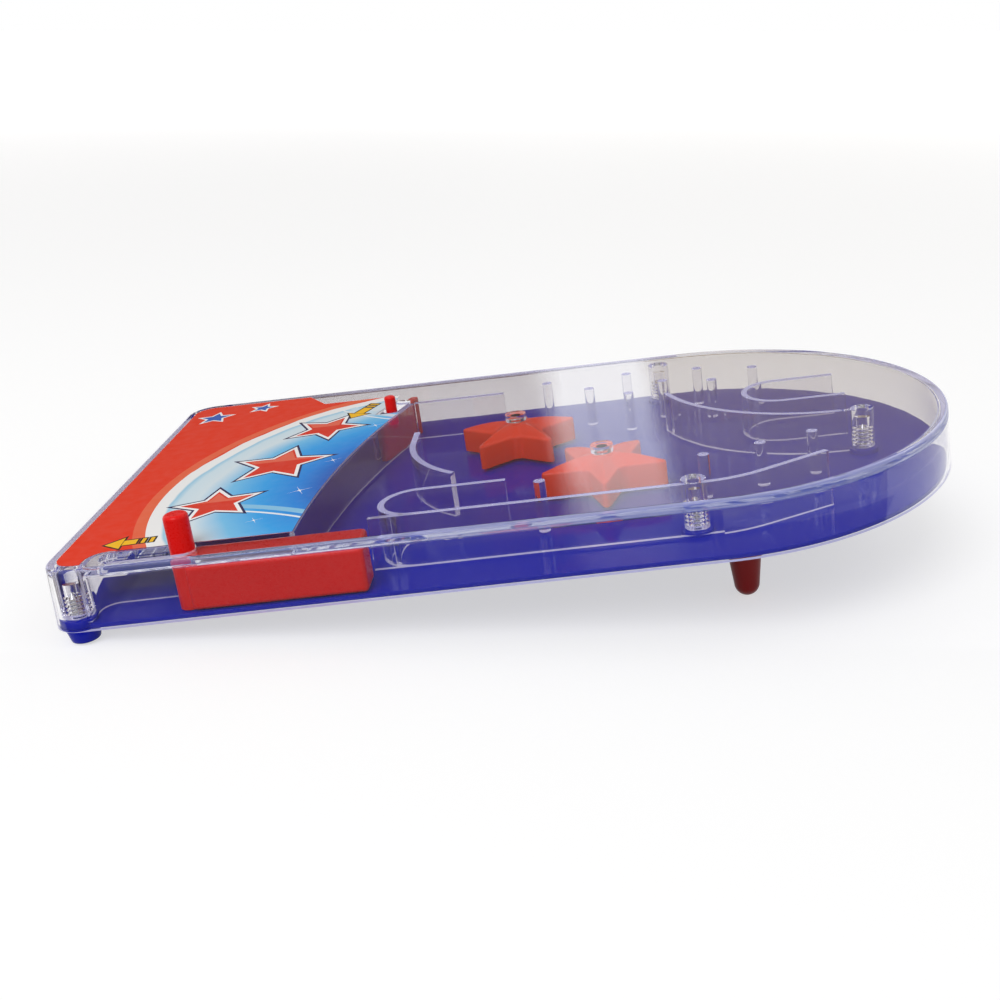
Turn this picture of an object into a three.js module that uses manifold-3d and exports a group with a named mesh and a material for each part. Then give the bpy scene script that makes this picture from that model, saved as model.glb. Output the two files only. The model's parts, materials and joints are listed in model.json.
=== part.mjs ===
// Hand-held pinball game: a flat base plate, a clear cover moulded with rails, pegs and screw bosses,
// a sprung shooter block, a sliding lane gate, two turning stars, a steel ball, a printed card and two legs.
// Millimetres. The game is drawn lying flat: x runs from the player's end to the round end, y across it
// (negative on the shooter's side) and z up from the underside of the cover's wall. The last lines stand it
// on its feet.

import * as THREE from "three";
import * as BufferGeometryUtils from "three/addons/utils/BufferGeometryUtils.js";
import Module from "manifold-3d";

const wasm = await Module();
wasm.setup();

// Driving dimensions: the case
const caseLength = 242;
const caseWidth = 144;
const caseHeight = 16.5;
const frontCorner = 8.5;
const draft = 0.5;
const topEdgeRound = 0.9;
const wall = 2.0;
const plateThickness = 2.4;
const floorThickness = 1.2;
const railFloorGap = 0.7;
const standAngle = THREE.MathUtils.degToRad(6.5);
const fit = 0.3;
const overrun = 1;
const sink = 0.4;

// Driving dimensions: rails, pegs and bosses of the cover
const railThickness = 1.8;
const guideThickness = 1.2;
const pegDiameter = 3.2;
const bossDiameter = 6.6;
const laneWidth = 13;
const ballDiameter = 8;
const frontBossInset = 7.3;
const frontBossEdge = 5.1;
const ceilingRound = 0.8;
const nearRailBendRadius = 32;
const nearRailTail = 21;
const nearRailBend = THREE.MathUtils.degToRad(28);
const nearPocketRadius = 9.1;
const nearPocketLeg = 23.2;
const farPocketRadius = 10.7;
const farPocketLeg = 18;
const smallRailLead = 10.7;
const smallRailRadius = 40.6;
const smallRailBend = THREE.MathUtils.degToRad(50);
const sweepStart = THREE.MathUtils.degToRad(15);
const guideCornerRadius = 5;
const gateClearance = 0.7;

// Driving dimensions: screws
const screwShank = 2.3;
const screwHead = 5;
const screwHeadHeight = 1;
const screwLength = 8.2;
const screwTip = 1.4;
const screwRecess = 0.2;
const screwPanShares = [0.75, 0.45];
const screwCrossShare = 0.62;
const seatThickness = 1;
const seatWall = 1.4;
const bossBoreDepth = 9;

// Driving dimensions: feet and legs
const footHeight = 4;
const footRadius = 4.5;
const footTipRadius = 3.7;
const footRound = 0.8;
const legSocketDepth = 6;
const legSocketWall = 1.5;
const legRootRadius = 5.2;
const legTipRadius = 3.5;
const legFromRear = 65;
const legFromSide = 31;
const legSpigotRadius = 2;
const legSpigotLength = 5;

// Driving dimensions: shooter
const blockLength = 44.5;
const blockWidth = 9.2;
const blockRoofGap = 0.6;
const blockWall = 1.5;
const blockRound = 0.8;
const blockRear = 81;
const sideClearance = 0.4;
const glideGap = 0.3;
const shooterPinDiameter = 6.2;
const shooterPinRise = 9.6;
const shooterPinOffset = 0.9;
const shooterTravel = 18;
const springRadius = 2.4;
const springWire = 0.5;
const springTurns = 13;
const springClosedPitchShare = 1.9;
const springPost = 1.6;
const springPostRoofGap = 1.8;
const springPostGap = 1.3;
const springSpigot = 1.5;
const springSpigotLength = 4;

// Driving dimensions: gate
const gateYShare = 0.5625;
const gateArchGap = 4.15;
const gateTangentLead = 1.9;
const gateThickness = 2.8;
const gateBehind = 12.5;
const gateAhead = 18.5;
const gatePinDiameter = 3.6;
const gatePinRise = 4.7;
const gateTravel = 8;
const gateSlotWidth = 5.4;

// Driving dimensions: stars
const starPoints = 5;
const starRadius = 17.6;
const starValleyRadius = 8.3;
const starCollarHeight = 2.1;
const starCrown = 2.3;
const starCrownShares = [0.3, 0.62, 0.86];
const starPointPower = 2;
const starBottomGap = 0.3;
const starEdgeRound = 0.8;
const starHubRadius = 3.7;
const starPostRadius = 1.55;
const starPostCollar = 3.25;
const starLocatorHeight = 0.7;

// Driving dimensions: printed card
const cardThickness = 0.3;
const cardMargin = 3;
const cardSlotMargin = 0.8;
const cardStepX = 42;
const cardStepRun = 7;
const cardStepGap = 4.2;

// Levels that follow from the sizes above
const plateUnderside = caseHeight - plateThickness;
const railBottom = floorThickness + railFloorGap;
const halfWidth = caseWidth / 2;
const endCentreX = caseLength - halfWidth;
const innerHalfWidth = halfWidth - wall - draft / 2;
const glideLevel = floorThickness + glideGap;
const ballRadius = ballDiameter / 2;
const halfwayRound = 1 - Math.SQRT1_2;
const cardRecess = cardThickness + fit;
const legX = caseLength - legFromRear;
const legY = halfWidth - legFromSide;

// The lane between the near wall and the long rail, and the channel that the block slides in
const longRailY = -(innerHalfWidth - laneWidth - railThickness / 2);
const blockNearY = -(innerHalfWidth - sideClearance);
const blockFarY = blockNearY + blockWidth;
const guideNearFace = blockFarY + sideClearance;
const guideY = guideNearFace + guideThickness / 2;
const blockFront = blockRear - blockLength;
const shooterPinX = blockFront - shooterPinOffset;
const springY = (blockNearY + blockFarY) / 2;
const shooterPinY = springY - sideClearance;
const blockHeight = plateUnderside - blockRoofGap - glideLevel;

// The arched wall that the ball rolls home along. Its rear face is an arc that starts square to the guide.
const archRadius = 325;
const archStartX = 62.5;
const archThickness = 1.6;
const archCentreX = archStartX + archRadius;
const archCentreY = guideY;
const farRailYShare = 0.6639;
const farRailY = farRailYShare * halfWidth;
const archFaceX = (y) => archCentreX - Math.sqrt(archRadius ** 2 - (y - archCentreY) ** 2);

// The gate slides beside the arched wall, parallel to the wall's tangent a little nearer than the gate's pin
const gateY = gateYShare * halfWidth;
const gateX = archFaceX(gateY) - gateArchGap;
const gateAngle = Math.asin((gateY - gateTangentLead - archCentreY) / archRadius);
const gateSlotFarY = gateY + (gateTravel + gateSlotWidth) * Math.cos(gateAngle);
const cardStepY = gateSlotFarY + cardStepGap;

// Plastics and metal
const clearPlastic = new THREE.MeshStandardMaterial({
  color: 0xdfe6f2, roughness: 0.08, metalness: 0, transparent: true, opacity: 0.35,
});
const bluePlastic = new THREE.MeshStandardMaterial({ color: 0x2a2aa8, roughness: 0.35, metalness: 0 });
const redPlastic = new THREE.MeshStandardMaterial({ color: 0xd8281a, roughness: 0.32, metalness: 0 });
const legPlastic = new THREE.MeshStandardMaterial({ color: 0xb01210, roughness: 0.35, metalness: 0 });
const printedCard = new THREE.MeshStandardMaterial({ color: 0x3aa4e6, roughness: 0.3, metalness: 0 });
const screwSteel = new THREE.MeshStandardMaterial({ color: 0xb9bcc0, roughness: 0.35, metalness: 1 });
const ballSteel = new THREE.MeshStandardMaterial({ color: 0xd6d8dc, roughness: 0.08, metalness: 1 });

/** Turns a closed three.js geometry into a solid that can be joined and cut. */
function solid(geometry) {
  const bare = geometry.index ? geometry.toNonIndexed() : geometry.clone();
  for (const name of Object.keys(bare.attributes)) {
    if (name !== "position") bare.deleteAttribute(name);
  }
  const merged = BufferGeometryUtils.mergeVertices(bare, 1e-4);
  const kept = [];
  const index = merged.index.array;
  for (let i = 0; i < index.length; i += 3) {
    const [a, b, c] = [index[i], index[i + 1], index[i + 2]];
    if (a !== b && b !== c && c !== a) kept.push(a, b, c);
  }
  return new wasm.Manifold(new wasm.Mesh({
    numProp: 3,
    vertProperties: Float32Array.from(merged.attributes.position.array),
    triVerts: Uint32Array.from(kept),
  }));
}

/** Joins solids into one. */
function join(first, ...others) {
  return others.reduce((all, next) => all.add(next), first);
}

/** A named mesh of a solid. */
function part(name, shape, material) {
  const { vertProperties, triVerts } = shape.getMesh();
  const geometry = new THREE.BufferGeometry();
  geometry.setAttribute("position", new THREE.BufferAttribute(Float32Array.from(vertProperties), 3));
  geometry.setIndex(new THREE.BufferAttribute(Uint32Array.from(triVerts), 1));
  geometry.computeVertexNormals();
  const mesh = new THREE.Mesh(geometry, material);
  mesh.name = name;
  return mesh;
}

/** A solid through closed rings of points [x, y, z] that all have the same number of points. */
function loft(rings) {
  const count = rings[0].length;
  const points = rings.flat().flatMap(([x, y, z]) => [x, y, z]);
  const faces = [];
  for (let ring = 0; ring + 1 < rings.length; ring += 1) {
    for (let i = 0; i < count; i += 1) {
      const a = ring * count + i;
      const b = ring * count + ((i + 1) % count);
      faces.push(a, b, b + count, a, b + count, a + count);
    }
  }
  const cap = THREE.ShapeUtils.triangulateShape(rings[0].map(([x, y]) => new THREE.Vector2(x, y)), []);
  const last = (rings.length - 1) * count;
  const topCap = THREE.ShapeUtils.triangulateShape(rings.at(-1).map(([x, y]) => new THREE.Vector2(x, y)), []);
  for (const [a, b, c] of cap) faces.push(c, b, a);
  for (const [a, b, c] of topCap) faces.push(a + last, b + last, c + last);
  const geometry = new THREE.BufferGeometry();
  geometry.setAttribute("position", new THREE.Float32BufferAttribute(points, 3));
  geometry.setIndex(faces);
  return solid(geometry);
}

/** A flat shape raised from one level to another. */
function prism(shape, low, high, curveSegments = 12) {
  const depth = high - low;
  const geometry = new THREE.ExtrudeGeometry(shape, { depth, bevelEnabled: false, curveSegments });
  geometry.translate(0, 0, low);
  return solid(geometry);
}

/** A solid turned from a profile of [radius, z] pairs, standing at x, y. */
function turned(profile, x, y, segments = 24) {
  const outline = profile.map(([r, z]) => new THREE.Vector2(r, z));
  if (THREE.ShapeUtils.area(outline) < 0) outline.reverse();
  const geometry = new THREE.LatheGeometry(outline, segments);
  geometry.rotateX(Math.PI / 2);
  geometry.translate(x, y, 0);
  return solid(geometry);
}

/** A plain round post or, when it is subtracted, a round hole. */
function post(x, y, radius, low, high, segments = 16) {
  return turned([[0, low], [radius, low], [radius, high], [0, high]], x, y, segments);
}

/** Profile points of a rounded outer edge, from the side of a turned solid up on to its end. */
function roundOver(radius, level, round, towards, steps = 3) {
  return Array.from({ length: steps + 1 }, (_, i) => {
    const angle = (Math.PI / 2) * (i / steps);
    return [radius - round * (1 - Math.cos(angle)), level - towards * round * (1 - Math.sin(angle))];
  });
}

/** Points along an arc, from one angle to another, about a centre. */
function arc(centreX, centreY, radius, from, to, steps) {
  return Array.from({ length: steps + 1 }, (_, i) => {
    const angle = from + ((to - from) * i) / steps;
    return [centreX + radius * Math.cos(angle), centreY + radius * Math.sin(angle)];
  });
}

/** An upright strip of even thickness along a line of points, from one level to another. */
function strip(line, thickness, low, high) {
  const half = thickness / 2;
  const sides = [1, -1].map((side) => line.map(([x, y], i) => {
    const before = line[Math.max(i - 1, 0)];
    const after = line[Math.min(i + 1, line.length - 1)];
    const into = new THREE.Vector2(x - before[0], y - before[1]).normalize();
    const out = new THREE.Vector2(after[0] - x, after[1] - y).normalize();
    const along = new THREE.Vector2().addVectors(into, out).normalize();
    const reach = half / Math.max(along.dot(out.lengthSq() ? out : into), Math.SQRT1_2);
    return new THREE.Vector2(x - side * along.y * reach, y + side * along.x * reach);
  }));
  return prism(new THREE.Shape([...sides[0], ...sides[1].reverse()]), low, high);
}

/** The outline of the case in plan, drawn in by an inset: rounded front corners and a half-round end. */
function casePlan(inset) {
  const side = halfWidth - inset;
  const corner = frontCorner - inset;
  const quarter = Math.PI / 2;
  return [
    ...arc(endCentreX, 0, side, -quarter, quarter, 48),
    ...arc(frontCorner, halfWidth - frontCorner, corner, quarter, 2 * quarter, 6),
    ...arc(frontCorner, frontCorner - halfWidth, corner, 2 * quarter, 3 * quarter, 6),
  ];
}

const caseRing = (inset, z) => casePlan(inset).map(([x, y]) => [x, y, z]);

/** A stadium: a slot of a given width whose two end centres lie a travel apart along a direction. */
function stadium(x, y, directionX, directionY, travel, width) {
  const heading = Math.atan2(directionY, directionX);
  const quarter = Math.PI / 2;
  const [endX, endY] = [x + directionX * travel, y + directionY * travel];
  const start = arc(x, y, width / 2, heading + quarter, heading + 3 * quarter, 10);
  const end = arc(endX, endY, width / 2, heading - quarter, heading + quarter, 10);
  return new THREE.Shape([...start, ...end].map(([px, py]) => new THREE.Vector2(px, py)));
}

// Places on the field, as shares of the case's length and half width
const place = ([lengthShare, widthShare]) => [lengthShare * caseLength, widthShare * halfWidth];
const pegShares = [
  [0.763, -0.421], [0.825, -0.351], [0.697, -0.485], [0.514, -0.579], [0.573, 0.583], [0.672, 0.578],
  [0.722, 0.722], [0.736, 0.507], [0.625, 0.76], [0.6245, 0.442], [0.515, 0.75], [0.795, 0.642],
];
const pegPlaces = pegShares.map(place);
const rearBossShares = [0.895, -0.139];
const farBossShares = [0.671, 0.857];
const nearBossLengthShare = 0.679;
const starShares = [
  { name: "star_bumper_1", at: [0.4764, 0.3167], heading: Math.PI / 2 },
  { name: "star_bumper_2", at: [0.5847, -0.2306], heading: -Math.PI / 2 },
];
const starPlaces = starShares.map(({ name, at, heading }) => {
  const [x, y] = place(at);
  return { name, x, y, heading };
});
const nearRailBendShare = 0.69;
const farRailEndShare = 0.456;
const farPocketShares = [0.8136, 0.229];
const smallRailShares = [0.353, 0.2014];
const sweepShares = [0.8736, 0.5556];

// Bosses: two in the front corners, one on the near rail, one at the round end and one on the far side
const bossPlaces = [
  [frontBossInset, frontBossEdge - halfWidth],
  [frontBossInset, halfWidth - frontBossEdge],
  [nearBossLengthShare * caseLength, longRailY + bossDiameter / 2],
  place(rearBossShares),
  place(farBossShares),
];
const frontBosses = bossPlaces.slice(0, 2);

// Screw levels: the head lies in a recess below the floor and the boss stands on the recess's crown
const screwHeadLow = screwRecess;
const screwHeadHigh = screwHeadLow + screwHeadHeight;
const seatLevel = screwHeadHigh + fit;
const crownLevel = seatLevel + seatThickness;
const bossBottom = crownLevel + fit;
const screwBore = screwShank / 2 + fit;
const headBore = screwHead / 2 + fit;
const crownRadius = headBore + seatWall;

// Star levels
const starPostBottom = floorThickness + fit;
const starBottom = floorThickness + starLocatorHeight + starBottomGap;
const collarBottom = plateUnderside - starCollarHeight;
const starTop = collarBottom - fit;
const starShoulder = starTop - starCrown;

/** The long near rail: straight beside the lane, then bent across it towards the round end. */
function longRail() {
  const bend = nearRailBend;
  const turn = arc(
    nearRailBendShare * caseLength, longRailY + nearRailBendRadius, nearRailBendRadius,
    -Math.PI / 2, bend - Math.PI / 2, 6,
  );
  const [endX, endY] = turn.at(-1);
  const tip = [endX + nearRailTail * Math.cos(bend), endY + nearRailTail * Math.sin(bend)];
  return [[blockRear - sideClearance, longRailY], ...turn, tip];
}

/** A pocket rail: a half-round closed end with a straight leg, and a second leg where it has one. */
function pocket([centreX, centreY], radius, farLeg, nearLeg) {
  const bowl = arc(centreX, centreY, radius, Math.PI / 2, 1.5 * Math.PI, 14);
  const near = nearLeg > 0 ? [[centreX + nearLeg, centreY - radius]] : [];
  return [[centreX + farLeg, centreY + radius], ...bowl, ...near];
}

/** The pocket that the near rail's front closes: its bowl runs into the rail. */
function nearPocket() {
  const centre = [blockRear + nearPocketRadius + railThickness, longRailY + nearPocketRadius];
  return pocket(centre, nearPocketRadius, nearPocketLeg, 0);
}

/** The small rail in front of the first star: a straight lead and a bend to the rear. */
function smallRail() {
  const [x, top] = place(smallRailShares);
  const end = Math.PI + smallRailBend;
  const turn = arc(x + smallRailRadius, top - smallRailLead, smallRailRadius, Math.PI, end, 10);
  return [[x, top], ...turn];
}

/** The rail that sweeps round from the upper field to the boss near the round end. */
function sweepRail() {
  const [centreX, centreY] = place(sweepShares);
  const [bossX, bossY] = bossPlaces[3];
  const radius = Math.hypot(bossX - centreX, bossY - centreY);
  const to = Math.atan2(bossY - centreY, bossX - centreX) + 2 * Math.PI;
  return arc(centreX, centreY, radius, Math.PI + sweepStart, to, 12);
}

/** The arched wall, from the guide up to the far rail, and the far rail that runs on from its head. */
function archLine() {
  const middle = archRadius + archThickness / 2;
  const rise = Math.asin((farRailY - archCentreY) / middle);
  return arc(archCentreX, archCentreY, middle, Math.PI, Math.PI - rise, 16);
}

/** The guide beside the shooter block: it closes the channel round the front and ends at the arched wall. */
function guideLine() {
  const frontX = frontBossInset + bossDiameter / 2 + fit;
  const round = guideCornerRadius;
  return [
    [frontX, -(innerHalfWidth + sink)],
    ...arc(frontX + round, guideY - round, round, Math.PI, Math.PI / 2, 6),
    [archStartX, guideY],
  ];
}

/** A straight rib in front of the gate, so that the gate slides between it and the arched wall. */
function gateRib() {
  const offset = gateThickness / 2 + gateClearance + guideThickness / 2;
  const along = [Math.sin(gateAngle), Math.cos(gateAngle)];
  const at = (s) => [gateX + along[0] * s - along[1] * offset, gateY + along[1] * s + along[0] * offset];
  return [at(-gateBehind), at(gateTravel)];
}

/** The printed card's outline: it follows the case's front, the block's channel and the arched wall. */
function cardShape(grow) {
  const front = cardMargin - grow;
  const sideY = halfWidth - cardMargin - draft + grow;
  const corner = frontCorner - cardMargin;
  const channelY = guideNearFace - cardMargin / 2 - grow;
  const channelX = frontBossInset + bossDiameter / 2;
  const along = [Math.sin(gateAngle), Math.cos(gateAngle)];
  const slotHalf = gateSlotWidth / 2 + cardSlotMargin - grow;
  const slotNearY = gateY - gateSlotWidth / 2 - cardSlotMargin + grow;
  const slotLine = (y) => gateX + (y - gateY) * (along[0] / along[1]) - slotHalf / along[1];
  const archSteps = 12;
  const archEdge = Array.from({ length: archSteps + 1 }, (_, i) => {
    const y = channelY + ((slotNearY - channelY) * i) / archSteps;
    return [archFaceX(y) + grow, y];
  });
  const round = guideCornerRadius;
  const points = [
    ...arc(front + corner, corner - sideY, corner, Math.PI, 1.5 * Math.PI, 5),
    [channelX, -sideY],
    ...arc(channelX + round, channelY - round, round, Math.PI, Math.PI / 2, 5),
    ...archEdge,
    [slotLine(slotNearY), slotNearY],
    [slotLine(gateSlotFarY), gateSlotFarY],
    [slotLine(gateSlotFarY), cardStepY + grow],
    [cardStepX + cardStepRun, cardStepY + grow],
    [cardStepX, sideY],
    ...arc(front + corner, sideY - corner, corner, Math.PI / 2, Math.PI, 5),
  ];
  return new THREE.Shape(points.map(([x, y]) => new THREE.Vector2(x, y)));
}

/** The clear cover: shell, rails, pegs, bosses and star posts in one moulding. */
function cover() {
  const arcSteps = [0, 1, 2, 3].map((i) => (i * Math.PI) / 6);
  const roundRings = arcSteps.map((angle) => caseRing(
    draft + topEdgeRound * (1 - Math.cos(angle)),
    caseHeight - topEdgeRound * (1 - Math.sin(angle)),
  ));
  const outer = loft([caseRing(0, 0), ...roundRings]);
  const inner = loft([
    caseRing(wall, -overrun),
    caseRing(wall + draft, plateUnderside - ceilingRound),
    caseRing(wall + draft + ceilingRound, plateUnderside),
  ]);
  const high = plateUnderside + sink;
  const farPocket = pocket(place(farPocketShares), farPocketRadius, farPocketLeg, farPocketLeg);
  const farRail = [[archFaceX(farRailY), farRailY], [farRailEndShare * caseLength, farRailY]];
  const rails = [
    ...[longRail(), nearPocket(), farPocket, smallRail(), sweepRail(), farRail].map((line) => (
      strip(line, railThickness, railBottom, high))),
    ...[guideLine(), gateRib()].map((line) => strip(line, guideThickness, railBottom, high)),
    strip(archLine(), archThickness, railBottom, high),
  ];
  const pegs = pegPlaces.map(([x, y]) => post(x, y, pegDiameter / 2, railBottom, high));
  const bosses = bossPlaces.map(([x, y]) => post(x, y, bossDiameter / 2, bossBottom, high, 24));
  const starPosts = starPlaces.map(({ x, y }) => join(
    post(x, y, starPostCollar, collarBottom, high, 24),
    post(x, y, starPostRadius, starPostBottom, high),
  ));
  const boreTop = bossBottom + bossBoreDepth;
  const bores = bossPlaces.map(([x, y]) => post(x, y, screwBore, bossBottom - overrun, boreTop));
  const shooterSlot = stadium(shooterPinX, shooterPinY, -1, 0, shooterTravel, shooterPinDiameter + 2 * fit);
  const gateSlot = stadium(
    gateX - fit * Math.sin(gateAngle), gateY - fit * Math.cos(gateAngle),
    Math.sin(gateAngle), Math.cos(gateAngle), gateTravel + 2 * fit, gateSlotWidth,
  );
  let inside = join(...rails, ...pegs);
  for (const [x, y] of bossPlaces) {
    inside = inside.subtract(post(x, y, crownRadius + fit, -overrun, crownLevel + fit / 2, 24));
  }
  inside = join(inside, ...bosses, ...starPosts);
  for (const hole of bores) inside = inside.subtract(hole);
  let moulding = join(outer.subtract(inner), inside);
  moulding = moulding.subtract(prism(shooterSlot, plateUnderside - overrun, caseHeight + overrun));
  moulding = moulding.subtract(prism(gateSlot, plateUnderside - fit, caseHeight + overrun));
  moulding = moulding.subtract(prism(cardShape(fit / 2), caseHeight - cardRecess, caseHeight + overrun));
  return part("clear_cover", moulding, clearPlastic);
}

/** The blue base: a floor inside the cover's wall, with screw seats, feet, leg sockets and locating rings. */
function base() {
  const edge = wall + fit;
  let plate = loft([caseRing(edge, 0), caseRing(edge, floorThickness)]);
  for (const [x, y] of bossPlaces) {
    plate = plate.add(post(x, y, crownRadius, sink, crownLevel, 24));
  }
  for (const [x, y] of frontBosses) {
    plate = plate.add(turned([
      [0, sink], [footRadius, sink], [footRadius, 0],
      ...roundOver(footTipRadius, -footHeight, footRound, -1), [0, -footHeight],
    ], x, y));
  }
  const within = loft([caseRing(edge, -footHeight - overrun), caseRing(edge, crownLevel + overrun)]);
  plate = plate.intersect(within);
  for (const [x, y] of bossPlaces) {
    plate = plate.subtract(post(x, y, headBore, -footHeight - overrun, seatLevel, 24));
    plate = plate.subtract(post(x, y, screwBore, 0, crownLevel + overrun));
  }
  for (const side of [1, -1]) {
    const inside = legRootRadius + fit;
    plate = plate.add(turned([
      [inside, sink], [inside, -legSocketDepth], [inside + legSocketWall, -legSocketDepth],
      [inside + legSocketWall, sink], [inside, sink],
    ], legX, side * legY, 32));
    plate = plate.add(post(legX, side * legY, legSpigotRadius, -legSpigotLength, sink));
  }
  for (const { x, y } of starPlaces) {
    const inside = starPostRadius + fit;
    const high = floorThickness + starLocatorHeight;
    plate = plate.add(turned([
      [inside, floorThickness - sink], [starPostCollar, floorThickness - sink],
      [starPostCollar, high], [inside, high], [inside, floorThickness - sink],
    ], x, y));
  }
  plate = plate.add(springPostSolid());
  return part("base_plate", plate, bluePlastic);
}

/** The post on the floor, inside the hollow block, that the spring pushes against, with its spigot. */
function springPostSolid() {
  const low = floorThickness - sink;
  const high = glideLevel + blockHeight - blockWall - springPostRoofGap;
  const upright = new THREE.BoxGeometry(springPost, blockWidth - 2 * (blockWall + fit), high - low);
  upright.translate(springPostX, springY, (low + high) / 2);
  return join(solid(upright), spigot(springPostX, springSpigotLength + springPost / 2, springSpigot));
}

/** A round spigot lying along x at the spring's height. */
function spigot(x, length, radius) {
  const geometry = new THREE.CylinderGeometry(radius, radius, Math.abs(length), 16);
  geometry.rotateZ(Math.PI / 2);
  geometry.translate(x + length / 2, springY, springLevel);
  return solid(geometry);
}

const springLevel = glideLevel + blockHeight / 2;
const springPostX = blockFront + blockWall + springPostGap + springPost / 2;
const springFrontEnd = springPostX + springPost / 2 + fit;
const springRearEnd = blockRear - blockWall - fit;

/** The hollow red block with its finger pin: open below, so that it drops over the spring and its post. */
function shooter() {
  const block = new THREE.Shape([
    [blockFront, blockNearY], [blockRear, blockNearY], [blockRear, blockFarY], [blockFront, blockFarY],
  ].map(([x, y]) => new THREE.Vector2(x, y)));
  const high = glideLevel + blockHeight;
  const body = roundedPrism(block, glideLevel, high, blockRound);
  const hollow = new THREE.BoxGeometry(
    blockLength - 2 * blockWall, blockWidth - 2 * blockWall, blockHeight - blockWall + overrun,
  );
  hollow.translate(
    (blockFront + blockRear) / 2, (blockNearY + blockFarY) / 2,
    glideLevel - overrun + (blockHeight - blockWall + overrun) / 2,
  );
  const radius = shooterPinDiameter / 2;
  const tip = caseHeight + shooterPinRise;
  const column = turned(roundedPinProfile(radius, glideLevel, tip), shooterPinX, shooterPinY, 32);
  const shell = join(body, column).subtract(solid(hollow));
  const rearSpigot = spigot(blockRear - blockWall / 2, -springSpigotLength, springSpigot);
  return part("shooter_block", join(shell, rearSpigot), redPlastic);
}

/** The profile of a round pin with a rounded top. */
function roundedPinProfile(radius, low, high) {
  return [[0, low], [radius, low], ...roundOver(radius, high, radius / 3, 1), [0, high]];
}

/** A prism whose two end faces have a small bevel. */
function roundedPrism(shape, low, high, round) {
  const geometry = new THREE.ExtrudeGeometry(shape, {
    depth: high - low - 2 * round, bevelEnabled: true, bevelThickness: round, bevelSize: round,
    bevelOffset: -round, bevelSegments: 3, curveSegments: 12,
  });
  geometry.translate(0, 0, low + round);
  return solid(geometry);
}

/** The least gap between stretches of one wire that lie half a turn or more apart, measured on points. */
function leastGap(points, wire, steps) {
  let least = Infinity;
  for (let i = 0; i < points.length; i += 1) {
    for (let j = i + steps / 2; j < points.length; j += 1) {
      least = Math.min(least, points[i].distanceTo(points[j]) - wire);
    }
  }
  return least;
}

/** The compression spring inside the block: one unbroken wire, its first and last turns closed up. */
function spring() {
  const steps = 8;
  const sides = 5;
  const closed = 1;
  const span = springRearEnd - springFrontEnd - springWire;
  const closedPitch = springWire * springClosedPitchShare;
  const openTurns = springTurns - 2 * closed;
  const openPitch = (span - 2 * closed * closedPitch) / openTurns;
  const along = (turn) => {
    if (turn < closed) return turn * closedPitch;
    if (turn > springTurns - closed) return span - (springTurns - turn) * closedPitch;
    return closed * closedPitch + (turn - closed) * openPitch;
  };
  const points = Array.from({ length: springTurns * steps + 1 }, (_, i) => {
    const turn = i / steps;
    const angle = 2 * Math.PI * turn;
    return new THREE.Vector3(
      springFrontEnd + springWire / 2 + along(turn),
      springY + springRadius * Math.cos(angle),
      springLevel + springRadius * Math.sin(angle),
    );
  });
  console.log(`shooter_spring: least gap to itself ${leastGap(points, springWire, steps).toFixed(2)} mm`);
  const rings = points.map((point, i) => {
    const angle = (2 * Math.PI * i) / steps;
    const outward = new THREE.Vector3(0, Math.cos(angle), Math.sin(angle));
    const sideways = new THREE.Vector3(1, 0, 0);
    return Array.from({ length: sides }, (_, k) => {
      const around = (2 * Math.PI * k) / sides;
      return point.clone()
        .addScaledVector(outward, (springWire / 2) * Math.cos(around))
        .addScaledVector(sideways, (springWire / 2) * Math.sin(around));
    });
  });
  const positions = rings.flat().flatMap((p) => [p.x, p.y, p.z]);
  const faces = [];
  for (let i = 0; i + 1 < rings.length; i += 1) {
    for (let k = 0; k < sides; k += 1) {
      const a = i * sides + k;
      const b = i * sides + ((k + 1) % sides);
      faces.push(a, b + sides, b, a, a + sides, b + sides);
    }
  }
  const last = (rings.length - 1) * sides;
  for (let k = 1; k + 1 < sides; k += 1) {
    faces.push(0, k, k + 1);
    faces.push(last, last + k + 1, last + k);
  }
  const geometry = new THREE.BufferGeometry();
  geometry.setAttribute("position", new THREE.Float32BufferAttribute(positions, 3));
  geometry.setIndex(faces);
  return part("shooter_spring", solid(geometry), screwSteel);
}

/** The red gate: a tall bar with rounded ends and a finger pin, which slides along its own length. */
function gate() {
  const along = [Math.sin(gateAngle), Math.cos(gateAngle)];
  const half = gateThickness / 2;
  const bar = stadium(
    gateX - along[0] * (gateBehind - half), gateY - along[1] * (gateBehind - half), along[0], along[1],
    gateBehind + gateAhead - gateThickness, gateThickness,
  );
  const high = plateUnderside - fit - sideClearance;
  const pin = roundedPinProfile(gatePinDiameter / 2, high - sink, caseHeight + gatePinRise);
  const bead = gateThickness / 4;
  const shape = join(roundedPrism(bar, glideLevel, high, bead), turned(pin, gateX, gateY, 24));
  return part("lane_gate", shape, redPlastic);
}

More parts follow.
